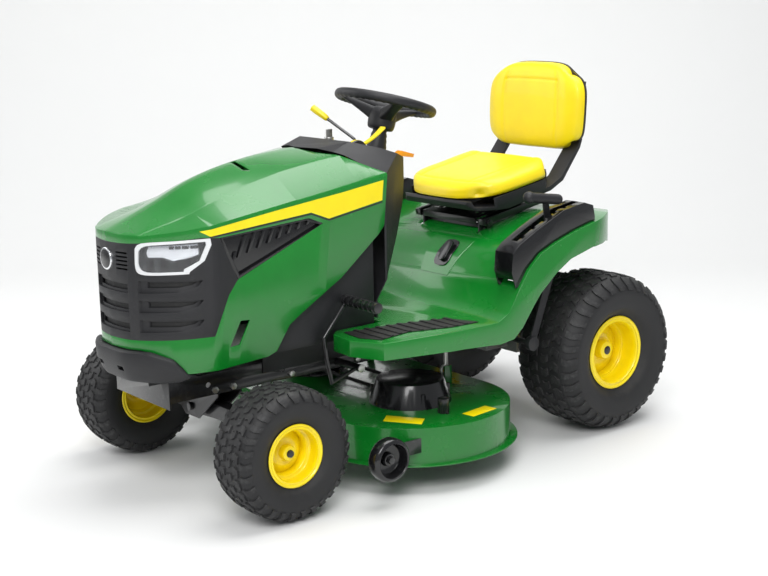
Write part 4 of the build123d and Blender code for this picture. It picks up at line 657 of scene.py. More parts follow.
def lug(bm, profile, start, end, lead, breadth, height, skew, side):
    """One tread block between two distances from the middle, wavy along the wheel."""
    rings = []
    count = 5
    for i in range(count + 1):
        u = start + (end - start) * i / count
        (x, r), (nx, nr) = along_profile(profile, u)
        wave = lead + skew * math.sin(math.pi * i / count * 1.4)
        ring = []
        for rise, trim in ((-2.0, 0.0), (height, 1.6)):
            for edge in (-1, 1):
                s = wave + edge * (breadth / 2 - trim)
                inset = (1.6 if i == 0 else -1.6 if i == count else 0.0) if rise > 0 else 0.0
                px, pr = x + nx * rise + inset * nr, r + nr * rise - inset * nx
                a = s / profile[-1][1]
                ring.append(bm.verts.new((side * px, -pr * math.sin(a), pr * math.cos(a))))
        rings.append([ring[0], ring[1], ring[3], ring[2]])
    join_rings(bm, rings)
    bm.faces.new(rings[0])
    bm.faces.new(rings[-1])


def tread_cell(name, profile, width, count):
    """All tread blocks of one pitch of a turf tyre, at the top of the wheel."""
    bm = bmesh.new()
    pitch = 2 * math.pi * profile[-1][1] / count
    rows = ((0.030, 0.150, 0.0, 0.58, 4.5, 0.10), (0.185, 0.325, 0.5, 0.60, 4.5, -0.12),
            (0.355, 0.560, 0.0, 0.52, 5.0, 0.10))
    for side in (-1, 1):
        for start, end, phase, fill, height, skew in rows:
            lead = (phase + (0.25 if side > 0 else 0.0)) * pitch
            lug(bm, profile, start * width, end * width, lead, fill * pitch, height, side * skew * pitch,
                side)
    bmesh.ops.recalc_face_normals(bm, faces=bm.faces)
    for vert in bm.verts:
        vert.co *= MM
    mesh = bpy.data.meshes.new(name)
    bm.to_mesh(mesh)
    bm.free()
    cell = bpy.data.objects.new(name, mesh)
    bpy.context.scene.collection.objects.link(cell)
    return cell


def wheel_nodes():
    """Geometry node group that sets a block round a wheel axis and joins it to the piece."""
    group = bpy.data.node_groups.new("ring_of_blocks", "GeometryNodeTree")
    face = group.interface
    face.new_socket(name="Geometry", in_out="INPUT", socket_type="NodeSocketGeometry")
    face.new_socket(name="Block", in_out="INPUT", socket_type="NodeSocketObject")
    face.new_socket(name="Count", in_out="INPUT", socket_type="NodeSocketInt")
    face.new_socket(name="Centre", in_out="INPUT", socket_type="NodeSocketVector")
    face.new_socket(name="Material", in_out="INPUT", socket_type="NodeSocketMaterial")
    face.new_socket(name="Geometry", in_out="OUTPUT", socket_type="NodeSocketGeometry")
    start = node(group, "NodeGroupInput", -900, 0)
    end = node(group, "NodeGroupOutput", 900, 0)
    points = node(group, "GeometryNodePoints", -600, -160)
    index = node(group, "GeometryNodeInputIndex", -900, -360)
    share = node(group, "ShaderNodeMath", -660, -420, operation="DIVIDE")
    turn = node(group, "ShaderNodeMath", -480, -420, operation="MULTIPLY")
    turn.inputs[1].default_value = 2 * math.pi
    angles = node(group, "ShaderNodeCombineXYZ", -280, -420)
    block = node(group, "GeometryNodeObjectInfo", -420, -620)
    spread = node(group, "GeometryNodeInstanceOnPoints", 0, -200)
    real = node(group, "GeometryNodeRealizeInstances", 220, -200)
    both = node(group, "GeometryNodeJoinGeometry", 460, 0)
    paint = node(group, "GeometryNodeSetMaterial", 680, 0)
    wire(group, (start, "Count", points, "Count"), (start, "Centre", points, "Position"),
         (index, "Index", share, 0), (start, "Count", share, 1), (share, "Value", turn, 0),
         (turn, "Value", angles, "X"), (start, "Block", block, "Object"),
         (points, "Points", spread, "Points"), (block, "Geometry", spread, "Instance"),
         (angles, "Vector", spread, "Rotation"), (spread, "Instances", real, "Geometry"),
         (real, "Geometry", both, "Geometry"), (start, "Geometry", both, "Geometry"),
         (both, "Geometry", paint, "Geometry"), (start, "Material", paint, "Material"),
         (paint, "Geometry", end, "Geometry"))
    return group


def set_input(mod, name, value):
    """Sets a modifier input by its socket's identifier."""
    for item in mod.node_group.interface.items_tree:
        if item.item_type == "SOCKET" and item.in_out == "INPUT" and item.name == name:
            mod[item.identifier] = value


def build_tyre(where, radius, width, bead, seat, count, ring):
    """Turf tyre with its carcass turned from a section and its blocks set by geometry nodes."""
    name = "tyre_" + where
    centre = local(middle(name))
    half = tyre_profile(radius, width, bead, seat)
    wall = 9.0
    inner = [(max(x - wall, 0), max(r - wall * 0.8, bead + 0.5)) for x, r in half]
    loop = half + [(-x, r) for x, r in reversed(half[:-1])]
    hollow = inner + [(-x, r) for x, r in reversed(inner[:-1])]
    tyre = turned(name + "_turf", loop + list(reversed(hollow)), centre, 128)
    shaded(tyre, 50)
    cell = tread_cell(name + "_cell", half, width, count)
    mod = tyre.modifiers.new("tread", "NODES")
    mod.node_group = ring
    set_input(mod, "Block", cell)
    set_input(mod, "Count", count)
    set_input(mod, "Centre", tuple(world(centre)))
    set_input(mod, "Material", MATERIALS["tyre_rubber"])
    apply_modifiers(tyre)
    drop(cell)
    return dressed(tyre, "tyre_rubber", where + "_wheel", "tyre_rubber", name)


def rim_profile(bead, flange, half, dish_x):
    """Closed section of a pressed rim with rolled flanges, drop centre and dished disc."""
    well = bead - 12
    seat = half - 6
    return {"barrel": smooth_line(
        [(-half, flange - 1), (-half + 2, flange + 1), (-seat, flange - 3), (-seat + 1, bead + 1),
         (-0.42 * half, bead),
         (-0.3 * half, well), (0.3 * half, well), (0.42 * half, bead), (seat - 1, bead + 1),
         (seat, flange - 3),
         (half - 2, flange + 1), (half, flange - 1), (half + 0.5, flange - 4), (half - 3, flange - 8),
         (half - 5, bead - 4), (0.42 * half, bead - 3), (0.3 * half, well - 3), (-0.3 * half, well - 3),
         (-0.42 * half, bead - 3), (-half + 5, bead - 4), (-half + 3, flange - 8), (-half - 0.5, flange - 4)],
        3, closed=True),
        "dish": smooth_line(
            [(dish_x - 15, well - 2), (dish_x - 9, 0.86 * well), (dish_x - 2, 0.70 * well),
             (dish_x + 1, 0.56 * well),
             (dish_x, 0.44 * well), (dish_x + 2, 0.30 * well), (dish_x - 3, 0.30 * well),
             (dish_x - 5, 0.44 * well),
             (dish_x - 4, 0.56 * well), (dish_x - 7, 0.68 * well), (dish_x - 14, 0.84 * well),
             (dish_x - 19, well - 2)], 3, closed=True)}


def build_rim(where, bead, flange, half, dish_x, hub, hub_outer, bore):
    """Yellow pressed rim with its hub, valve stem and axle end."""
    name = "rim_" + where
    side = 1 if "left" in where else -1
    centre = local(middle("tyre_" + where))
    parts = rim_profile(bead, flange, half, dish_x)
    barrel = turned(name + "_barrel", parts["barrel"], centre, 96, side)
    dish = turned(name + "_dish", parts["dish"], centre, 96, side)
    nose = hub * 0.32
    hub_line = [(-half * 0.8, bore + 1), (-half * 0.8, hub), (hub_outer - nose, hub),
                (hub_outer - nose * 0.3, hub * 0.9), (hub_outer, hub * 0.62), (hub_outer, bore + 1)]
    core = turned(name + "_hub", hub_line, centre, 64, side)
    for piece in (barrel, dish, core):
        shaded(piece, 42)
        piece.data.materials.append(MATERIALS["yellow_paint"])
    a = math.radians(125)
    ring = 0.86 * (bead - 12)
    foot = Vector((centre[0] + side * (dish_x - 8), centre[1] + ring * math.cos(a),
                   centre[2] + ring * math.sin(a)))
    tip = foot + Vector((side * 26, -4 * math.cos(a), -4 * math.sin(a)))
    stem = tube(name + "_stem", [foot.lerp(tip, t / 6) for t in range(7)],
                lambda t: 6.0 - 2.4 * min(1.0, t * 1.8) if t < 0.96 else 3.0, 14)
    shaded(stem, 50)
    stem.data.materials.append(MATERIALS["rubber_black"])
    end = turned(name + "_end", [(hub_outer - 8, 0.02), (hub_outer - 8, bore + 1.2),
                                 (hub_outer + 1.0, bore + 1.2), (hub_outer + 3.0, bore * 0.6),
                                 (hub_outer + 3.0, 0.02)], centre, 32, side)
    shaded(end, 40)
    end.data.materials.append(MATERIALS["gloss_black_plastic"])
    whole = joined(name + "_wheel", [barrel, dish, core, stem, end])
    return dressed(whole, None, where + "_wheel", "yellow_paint", name)


def build_wheels(settings):
    """Tyres and rims of all four wheels."""
    ring = wheel_nodes()
    for where in WHEELS:
        low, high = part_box("tyre_" + where)
        radius, width = (high[2] - low[2]) / 2 / MM, (high[0] - low[0]) / MM
        if "front" in where:
            build_tyre(where, radius, width, 76, 60, settings.front_blocks, ring)
            build_rim(where, 76, 87, 66, 12, 22, 36, 9.5)
        else:
            build_tyre(where, radius, width, 101, 92, settings.rear_blocks, ring)
            build_rim(where, 101, 117, 98, 26, 30, 60, 12.7)


# ---------------------------------------------------------------- seat

SEAT_SLOPE = math.radians(10)
SEAT_HINGE = (-278.0, 668.0)


def seat_place(point):
    """Point drawn flat at the seat hinge, carried up to the sloping seat."""
    x, y, z = point
    c, s = math.cos(SEAT_SLOPE), math.sin(SEAT_SLOPE)
    return x, SEAT_HINGE[0] + c * y - s * z, SEAT_HINGE[1] + s * y + c * z


def superquadric(half_x, half_y, top, rows=64, cols=64):
    """Closed padded form over a rounded plan; top(u, v) gives the upper and lower height."""
    bm = bmesh.new()
    layers = []
    for upper in (True, False):
        grid = []
        for j in range(rows + 1):
            line = []
            for i in range(cols + 1):
                u, v = 2 * i / cols - 1, 2 * j / rows - 1
                x, y = squircle(u, v)
                high, low = top(u, v)
                line.append(bm.verts.new((half_x * x, half_y * y, high if upper else low)))
            grid.append(line)
        layers.append(grid)
        for j in range(rows):
            for i in range(cols):
                bm.faces.new((grid[j][i], grid[j][i + 1], grid[j + 1][i + 1], grid[j + 1][i]))
    a, b = layers
    rim_a, rim_b = border(a), border(b)
    join_rings(bm, [rim_a, rim_b])
    return bm


def border(grid):
    """Vertices round the outside of a grid."""
    line = list(grid[0]) + [row[-1] for row in grid[1:]] + list(reversed(grid[-1][:-1]))
    return line + [row[0] for row in reversed(grid[1:-1])]


def squircle(u, v, power=0.22):
    """Square coordinates eased towards a rounded plan."""
    return u * (1 - power * v ** 6 * abs(u) ** 4), v * (1 - power * u ** 6 * abs(v) ** 4)


def pad_side(u, v, edge=7.0):
    """0 at the border and 1 over most of the pad, with a round shoulder."""
    return ((1 - abs(u) ** edge) * (1 - abs(v) ** edge)) ** 0.36


def channel(t, at, width):
    """Depth of a sewn channel beside a line, 1 at its middle."""
    return math.exp(-((t - at) / width) ** 2)


def build_seat_cushion(settings):
    """Crowned seat cushion with side bolsters, a piped seam and a sewn front channel."""
    base, height = 85.0, 52.0

    def heights(u, v):
        full = pad_side(u, v)
        bolster = 11 * channel(abs(u), 0.80, 0.16) * (0.4 + 0.6 * max(0, v))
        back = 9 * channel(v, 0.92, 0.14)
        dish = -5 * (1 - u * u) * (1 - (v - 0.1) ** 2)
        sewn = -4.5 * channel(abs(u), 0.60, 0.018) * (1 if v > -0.72 else 0.2)
        sewn -= 4.5 * channel(v, -0.74, 0.02)
        top = base + 16 + (height - 16) * full + (bolster + back + dish + sewn) * full ** 2
        return top, base + 12 * (1 - full) ** 2

    bm = superquadric(212, 176, heights, 72, 72)
    for vert in bm.verts:
        x, y, z = vert.co
        front = max(0.0, -y / 176)
        taper = 1 - 0.16 * front ** 2.5
        back = 40 * front * abs(x / 212) ** 2.6
        plump = settings.crown * (6 * (1 - (x / 212) ** 2) - 16 * front ** 4)
        vert.co = seat_place((x * taper, y + back + 112, z + plump * (z > base + 14)))
    pad = new_object("seat_cushion_padded", bm)
    shaded(pad, 60)
    dressed(pad, "yellow_vinyl", "seat", "yellow_vinyl", "seat_cushion")
    return pad


def build_back_cushion(settings):
    """Seat back: rounded yellow pad in front of a thin black edge shell."""
    def heights(u, v):
        full = pad_side(u, v, 5.0)
        sewn = -4.0 * channel(abs(u), 0.58, 0.018)
        sewn -= 4.0 * channel(v, 0.62, 0.02) * (1 if abs(u) < 0.6 else 0.0)
        roll = 6 * channel(abs(u), 0.78, 0.16)
        top = 16 + 28 * full + (sewn + roll) * full ** 2
        return top, 2 - 2 * (1 - full)

    def lean(x, y, z):
        """Carries the flat pad up to the leaning back; y is up the back and z is towards the front."""
        t = (y + 141) / 282
        centre_y = 106 + 20 * t * t
        return (x, centre_y - z - 2 * t, 868 + 282 * t)

    bm = superquadric(216, 141, heights, 72, 72)
    for vert in bm.verts:
        x, y, z = vert.co
        upper = max(0.0, y / 141)
        narrow = 1 - 0.20 * upper ** 3 - 0.05 * max(0.0, -y / 141) ** 2
        drop_off = 18 * (abs(x) / 216) ** 3 * upper
        vert.co = lean(x * narrow, y - drop_off, z + settings.crown * 3 * (1 - (x / 216) ** 2))
    pad = new_object("back_cushion_padded", bm)
    shaded(pad, 60)
    dressed(pad, "yellow_vinyl", "seat", "yellow_vinyl", "back_cushion")
    shell = superquadric(218, 143, lambda u, v: (9 - 3 * max(abs(u), abs(v)) ** 6, -1.5), 40, 40)
    for vert in shell.verts:
        x, y, z = vert.co
        upper = max(0.0, y / 143)
        narrow = 1 - 0.20 * upper ** 3 - 0.05 * max(0.0, -y / 143) ** 2
        vert.co = lean(x * narrow, y - 18 * (abs(x) / 218) ** 3 * upper, z)
    edge = new_object("back_cushion_shell", shell)
    shaded(edge, 40)
    dressed(edge, "charcoal_plastic", "seat", "charcoal_plastic")
    return pad


# ---------------------------------------------------------------- hood

HOOD_HALF = 240.0
HOOD_FRONT = -1530.0
HOOD_STATIONS = [(-1560, 118, 752, 748, 760), (-1450, 120, 782, 772, 806), (-1368, 124, 802, 788, 840),
                 (-1270, 128, 838, 803, 884), (-1171, 132, 868, 817, 914), (-1080, 136, 892, 830, 931),
                 (-1000, 141, 909, 841, 941), (-850, 150, 931, 863, 951), (-700, 156, 944, 885, 955)]
HOOD_SIDE_LINE = [(-1600, 391), (-1403, 391), (-1177, 405), (-1148, 415), (-1101, 483), (-1063, 508),
                  (-915, 593), (-777, 702), (-756, 725), (-740, 879), (-740, 1100), (-1600, 1100)]
GRILLE_LINE = [(-1600, 478), (-1345, 490), (-1296, 598), (-1266, 636), (-1318, 757), (-1368, 762),
               (-1600, 739)]
VENT_LINE = [(-1266, 636), (-1318, 757), (-1024, 777), (-975, 757)]


def hood_ring(y, crease_x, crease_z, side_z, crown_z, inset):
    """Cross-section of the hood at one distance, with a soft shoulder and a crowned top."""
    w = HOOD_HALF - inset
    shoulder = [(w, side_z - 40 - inset), (w, side_z - 6 - inset), (w - 2, side_z - inset)]
    run = [(crease_x + 4 - inset, crease_z - 2 - inset), (crease_x - inset, crease_z - inset),
           (crease_x - 5 - inset, crease_z + 2 - inset)]
    crown = []
    for k in range(1, 7):
        t = k / 6
        x = (crease_x - 5 - inset) * (1 - t)
        rise = crown_z - crease_z - 2
        crown.append((x, crease_z + 2 + rise * (1.35 * t - 0.35 * t * t) - inset))
    half = [(w, 330 - inset), (w, 560 - inset)] + shoulder + run + crown
    return [(x, y, z) for x, z in both_sides(half)]


def hood_solid(inset):
    """Solid under the hood's outer face, pulled in by the inset."""
    rows = smooth_line(HOOD_STATIONS, 5)
    body = loft("hood_form", [hood_ring(*row, inset) for row in rows])
    front = HOOD_FRONT + inset
    nose = smooth_line([(0, front), (56, front + 6), (98, front + 20), (150, front + 56),
                        (204, front + 116), (HOOD_HALF - inset + 1, front + 190)], 4)
    plan = nose + [(HOOD_HALF + 5, -600)]
    return combine(body, prism("nose", both_sides(plan + [(0, -600)]), "Z", 300, 1100), "INTERSECT")


def hood_layer(outer, inner):
    """Closed skin between two insets of the hood."""
    return combine(hood_solid(outer), hood_solid(inner), "DIFFERENCE")


def pair(outline_maker):
    """A cutter on the left and its mirror image on the right, as one object."""
    left, right = outline_maker(1), outline_maker(-1)
    return joined("pair", [left, right])


def hood_rear_cover():
    """Plan area that the hood covers, with its curved rear edge."""
    edge = [(HOOD_HALF + 5, -735), (150, -850)] + smooth_line([(150, -850), (80, -890), (0, -905)], 5)[1:]
    plan = [(0, -1700), (HOOD_HALF + 5, -1700)] + edge
    return prism("cover", both_sides(plan), "Z", 300, 1100)


def lamp_outline(inset):
    """Front view outline of the left headlamp."""
    k = inset
    inner = smooth_line([(110 + k, 735 - k), (109 + k, 682 + k), (122 + k, 665 + k), (160, 663 + k)], 4)
    upper = smooth_line([(190, 756 - k), (126 + k, 750 - k), (110 + k, 735 - k)], 3)[:-1]
    return inner + [(300, 670 + k), (300, 764 - k)] + upper


def lamp_cutter(inset, side):
    """Solid through the hood's corner in the shape of a headlamp with a slanted outer end."""
    outline = [(side * x, z) for x, z in lamp_outline(inset)]
    block = prism("lamp_cut", outline, "Y", -1620, -1340)
    k = 1.6 * max(inset, 0)
    end = [(-1640, 640), (-1408 - k, 640), (-1398 - k, 672 + inset), (-1362 - k, 700), (-1344 - k, 742),
           (-1350 - k, 790), (-1640, 790)]
    return combine(block, prism("lamp_end", end, "X", -400, 400), "INTERSECT")


def bumper_cutter():
    """Space below the hood's nose that the bumper takes."""
    return prism("bumper_cut", [(-1600, 455.5), (-1502, 455.5), (-1450, 434.5), (-1413, 384.5),
                                (-1400, 300), (-1600, 300)], "X", -300, 300)


def build_hood(settings):
    """Green hood skin with its scoop slot, side slots and all openings."""
    skin = hood_layer(0.0, 4.0)
    combine(skin, hood_rear_cover(), "INTERSECT")
    combine(skin, prism("side", HOOD_SIDE_LINE, "X", -300, 300), "INTERSECT")
    combine(skin, bumper_cutter(), "DIFFERENCE")
    combine(skin, prism("grille_cut", GRILLE_LINE, "X", -300, 300), "DIFFERENCE")
    combine(skin, prism("vent_cut", VENT_LINE, "X", -300, 300), "DIFFERENCE")
    combine(skin, pair(lambda s: lamp_cutter(0.0, s)), "DIFFERENCE")
    combine(skin, prism("scoop", [(-78, -1108), (78, -1108), (68, -1124), (-68, -1124)], "Z", 860, 1000),
            "DIFFERENCE")
    combine(skin, prism("slots", [(-1300, 452), (-1268, 455), (-1232, 519), (-1262, 521)], "X", -300, 300),
            "DIFFERENCE")
    rounded(skin, 1.3, 2, 40)
    return dressed(skin, "green_paint", "hood", "green_paint", "hood_shell")


def build_stripes(settings):
    """Yellow side flash with a thin dark line under it, both sides, laid on the hood."""
    flash = [(-1372, 779), (-1346, 764), (-1016, 792), (-955, 768), (-762, 800), (-756, 858), (-900, 838),
             (-1120, 812)]
    line = [(-1350, 759), (-1016, 786), (-955, 762), (-762, 793), (-762, 797), (-955, 766), (-1016, 790),
            (-1347, 763)]
    for label, outline, material in (("yellow_flash", flash, "yellow_plastic"),
                                     ("dark_pinstripe", line, "black_paint")):
        layer = combine(hood_solid(-0.7), hood_solid(0.3), "DIFFERENCE")
        combine(layer, prism("zone", outline, "X", -300, 300), "INTERSECT")
        combine(layer, prism("sides_only", [(-205, 300), (205, 300), (205, 1000), (-205, 1000)], "Y",
                             -1700, -500), "DIFFERENCE")
        shaded(layer, 40)
        dressed(layer, material, "hood", "yellow_plastic" if "yellow" in label else "black_paint")
        layer.name = label


def build_grille(settings):
    """Charcoal front moulding: slotted middle, fins by the badge, side slats and louvred vents."""
    body = combine(hood_layer(0.0, 16.0), prism("grille_zone", GRILLE_LINE, "X", -300, 300), "INTERSECT")
    combine(body, pair(lambda s: lamp_cutter(-0.3, s)), "DIFFERENCE")
    combine(body, bumper_cutter(), "DIFFERENCE")
    for z in (629, 575, 521):
        middle_slot = [(-84, z - 17), (84, z - 17), (84, z + 17), (-84, z + 17)]
        side_slot = [(112, z - 16), (196, z - 12), (222, z + 2), (228, z + 18), (200, z + 20),
                     (112, z + 18)]
        cut_grille_slot(body, lambda s: [(x * s, v) for x, v in middle_slot], (1,), 0.86, -5)
        cut_grille_slot(body, lambda s: [(x * s, v) for x, v in side_slot], (1, -1), 0.76, 5)
    for k in range(5):
        z = 674 + 11 * k
        combine(body, pair(lambda s: prism("fin", [(s * 42, z), (s * 86, z), (s * 86, z + 5),
                                                   (s * 42, z + 5)], "Y", -1620, -1480)), "DIFFERENCE")
    rounded(body, 1.1, 2, 38)
    body.data.materials.append(MATERIALS["charcoal_plastic"])
    screen = combine(hood_layer(17.0, 19.0), prism("screen_zone", GRILLE_LINE, "X", -300, 300), "INTERSECT")
    combine(screen, prism("screen_low", [(-230, 470), (230, 470), (230, 655), (-230, 655)], "Y", -1700,
                          -1300), "INTERSECT")
    screen.data.materials.append(MATERIALS["rubber_black"])
    whole = joined("grille_moulding", [body, screen, badge_disc()] + [vent_panel(s) for s in (1, -1)])
    return dressed(whole, None, "hood", "charcoal_plastic", "grille")


def cut_grille_slot(body, outline, sides, share, lift):
    """Recess in the grille with a smaller hole right through it, on one side or both."""
    for side in sides:
        edge = outline(side)
        cx, cz = sum(p[0] for p in edge) / len(edge), sum(p[1] for p in edge) / len(edge)
        hole = [(cx + (x - cx) * share, cz + lift * 0.6 + (z - cz) * 0.46) for x, z in edge]
        recess = combine(hood_layer(-2.0, 9.0), prism("recess", edge, "Y", -1620, -1330), "INTERSECT")
        combine(body, recess, "DIFFERENCE")
        combine(body, prism("hole", hole, "Y", -1620, -1330), "DIFFERENCE")


def badge_disc():
    """Plain round boss with a bright rim and a smooth black face."""
    steps = [2 * math.pi * k / 64 for k in range(64)]
    ring = prism("badge", [(31 * math.cos(a), 698 + 31 * math.sin(a)) for a in steps], "Y", HOOD_FRONT - 5,
                 HOOD_FRONT + 14)
    rounded(ring, 2.0, 3, 40)
    ring.data.materials.append(MATERIALS["chrome"])
    face = prism("badge_face", [(26 * math.cos(a), 698 + 26 * math.sin(a)) for a in steps], "Y",
                 HOOD_FRONT - 6.2, HOOD_FRONT)
    rounded(face, 0.8, 2, 40)
    face.data.materials.append(MATERIALS["gloss_black_plastic"])
    return joined("badge_disc", [ring, face])


def vent_panel(side):
    """Recessed black vent with slanted louvres in a raised rim."""
    back = prism("vent_back", VENT_LINE, "X", side * (HOOD_HALF - 14), side * (HOOD_HALF - 10))
    parts = [back]
    for k in range(9):
        y = -1296 + 33 * k
        z = 652 + 9 * k + (34 if k > 0 else 0)
        blade = prism("louvre", [(y, z), (y + 10, z + 3), (y + 34, z + 60), (y + 24, z + 60)], "X",
                      side * (HOOD_HALF - 11), side * (HOOD_HALF - 3))
        combine(blade, prism("inside", VENT_LINE, "X", -300, 300), "INTERSECT")
        parts.append(blade)
    rim = prism("rim", VENT_LINE, "X", side * (HOOD_HALF - 12), side * (HOOD_HALF - 0.5))
    cy = sum(p[0] for p in VENT_LINE) / 4
    cz = sum(p[1] for p in VENT_LINE) / 4
    hole = [(cy + (y - cy) * 0.94, cz + (z - cz) * 0.88) for y, z in VENT_LINE]
    parts.append(combine(rim, prism("hole", hole, "X", -300, 300), "DIFFERENCE"))
    for part in parts:
        rounded(part, 0.8, 2, 38)
        part.data.materials.clear()
        part.data.materials.append(MATERIALS["gloss_black_plastic"])
    return joined("vent_panel", parts)


def build_headlamps(settings):
    """Headlamps: pale outline, dark bezel, chrome reflector steps, bulbs and a clear lens."""
    pieces = []
    for side in (1, -1):
        outline = combine(hood_layer(-1.2, 10.0), lamp_cutter(0.3, side), "INTERSECT")
        combine(outline, lamp_cutter(8.0, side), "DIFFERENCE")
        bowl_edge = [(side * x, z) for x, z in ((128, 718), (136, 741), (228, 747), (236, 736),
                                                (226, 716), (186, 699), (166, 709), (134, 707))]
        bezel = combine(hood_layer(3.0, 14.0), lamp_cutter(8.2, side), "INTERSECT")
        combine(bezel, prism("bowl_hole", bowl_edge, "Y", -1620, -1372), "DIFFERENCE")
        bowl = combine(hood_layer(10.0, 15.5), prism("bowl_zone", bowl_edge, "Y", -1620, -1372),
                       "INTERSECT")
        lens = combine(hood_layer(0.6, 3.0), lamp_cutter(8.3, side), "INTERSECT")
        for part, material in ((outline, "white_trim"), (bezel, "gloss_black_plastic"), (bowl, "chrome"),
                               (lens, "clear_lens")):
            rounded(part, 0.7, 2, 40)
            part.data.materials.append(MATERIALS[material])
            pieces.append(part)
        for k in range(4):
            x = side * (182 + 11 * k)
            lamp = combine(hood_layer(7.5, 12.0), prism("cell",
                                                        [(x - 4, 733), (x + 4, 733), (x + 4, 741),
                                                         (x - 4, 741)], "Y", -1620, -1360), "INTERSECT")
            rounded(lamp, 0.6, 2, 40)
            lamp.data.materials.append(MATERIALS["gloss_black_plastic"])
            pieces.append(lamp)
    whole = joined("headlamp_pair", pieces)
    return dressed(whole, None, "hood", "clear_lens", "headlamps")


# ---------------------------------------------------------------- steering wheel

def squared(value):
    """Pushes a sine or cosine outwards, so that a round section becomes a soft rectangle."""
    return math.copysign(abs(value) ** 0.45, value)


def build_steering_wheel(settings):
    """Thick rim with finger bumps underneath, three broad spokes and a deep hub."""
    centre = Vector((0, -551, 1056))
    tilt = Matrix.Rotation(math.radians(-16.2), 3, "X")
    bm = bmesh.new()
    rings = []
    steps, sides = 180, 20
    for k in range(steps):
        a = 2 * math.pi * k / steps
        bump = 1.6 * max(0.0, math.sin(a * settings.finger_bumps))
        ring = []
        for s in range(sides):
            b = 2 * math.pi * s / sides
            under = max(0.0, -math.sin(b))
            r = 14.6 - 0.8 + bump * under
            out = 146 + r * math.cos(b)
            ring.append(bm.verts.new((out * math.cos(a), out * math.sin(a), 1.06 * r * math.sin(b))))
        rings.append(ring)
    join_rings(bm, rings + rings[:1])
    for vert in bm.verts:
        vert.co = centre + tilt @ vert.co
    grip = new_object("steering_rim", bm)
    shaded(grip, 60)
    parts = [grip]
    for angle in (100, 220, 340):
        spin = Matrix.Rotation(math.radians(angle), 3, "Z")
        rows = []
        for t in range(9):
            f = t / 8
            x = 18 + 118 * f
            width = 27 - 12 * math.sin(f * math.pi * 0.75) + 3 * f
            z = -46 + 44 * f ** 0.9
            thick = 25 - 19 * f ** 0.8
            section = [(x, width * squared(math.cos(b)), z + thick * squared(math.sin(b))) for b in
                       [2 * math.pi * (s + 0.5) / 24 for s in range(24)]]
            rows.append([centre + tilt @ (spin @ Vector(p)) for p in section])
        spoke = loft("spoke", rows)
        parts.append(shaded(spoke, 50))
    profile = smooth_line([(0.1, -14), (24, -15), (35, -21), (42, -36), (43, -62), (40, -80), (30, -85),
                           (0.1, -85)], 4)
    bm = bmesh.new()
    rings = []
    for k in range(48):
        a = 2 * math.pi * k / 48
        ring = [centre + tilt @ Vector((r * math.cos(a), r * math.sin(a), z)) for r, z in profile]
        rings.append([bm.verts.new(p) for p in ring])
    join_rings(bm, rings + rings[:1])
    parts.append(shaded(new_object("hub", bm), 50))
    whole = joined("steering_wheel_moulding", parts)
    whole.data.materials.clear()
    return dressed(whole, "charcoal_plastic", "steering_column", "charcoal_plastic", "steering_wheel")


# ---------------------------------------------------------------- dash controls

def build_dash_controls(settings):
    """Column boot, throttle drum and paddle, and the mower lever with its knob."""
    top, foot = Vector((0, -572, 984)), Vector((0, -596, 902))
    boot = tube("column_boot", [foot.lerp(top, t / 10) for t in range(11)],
                lambda t: 34 - 14 * t + 1.2 * math.sin(t * 30), 32)
    shaded(boot, 50)
    dressed(boot, "charcoal_plastic", "chassis", "charcoal_plastic")
    paint_parts("throttle_paddle", throttle_parts(), "throttle", "yellow_plastic", "throttle_lever")
    rod = tube("rod", smooth_line([(-46, -634, 892), (-46, -634, 930), (-50, -637, 946), (-62, -644, 957),
                                   (-132, -690, 1016)], 6), 4.6, 16)
    knob = tube("knob", smooth_line([(-122, -684, 1008), (-126, -686, 1011), (-142, -697, 1025),
                                     (-158, -707, 1038), (-166, -712, 1045)], 6), knob_radius, 24)
    paint_parts("mower_lever_and_knob", ((rod, "gloss_black_plastic"), (knob, "yellow_plastic")),
                "engage_lever", "yellow_plastic", "engage_lever")


def knob_radius(t):
    """Radius of the yellow knob along its length, with a rounded tip."""
    return 6.2 + 5.0 * math.sin(min(1.0, t * 1.15) * math.pi * 0.62) if t < 0.94 else 11 - 60 * (t - 0.9)


def throttle_parts():
    """Half drum with a yellow band and the yellow paddle."""
    centre = (100, -745, 925)
    drum = turned("drum", [(-9, 0.1), (-9, 36), (-7, 38), (7, 38), (9, 36), (9, 0.1)], centre, 64)
    band = turned("band", [(-4.5, 30), (-4.5, 38.8), (4.5, 38.8), (4.5, 30)], centre, 64)
    stem = loft("paddle", [paddle_ring(t / 10) for t in range(11)])
    for part in (drum, band, stem):
        shaded(part, 45)
    return (drum, "gloss_black_plastic"), (band, "yellow_plastic"), (stem, "yellow_plastic")


def paddle_ring(t):
    """Section of the throttle paddle, which widens towards its tip."""
    y = -735 + 92 * t
    z = 944 + 22 * t + 26 * t * t
    width, thick = 6 + 7 * t ** 1.5, 5 - 1.5 * t
    return [(100 + width * squared(math.cos(b)), y, z + thick * squared(math.sin(b)))
            for b in [2 * math.pi * (s + 0.5) / 16 for s in range(16)]]


def paint_parts(name, parts, body, slot, *nodes):
    """Joins finished meshes, each with its own material, into one piece."""
    for part, material in parts:
        part.data.materials.append(MATERIALS[material])
    return dressed(joined(name, [part for part, _ in parts]), None, body, slot, *nodes)


# ---------------------------------------------------------------- bumper

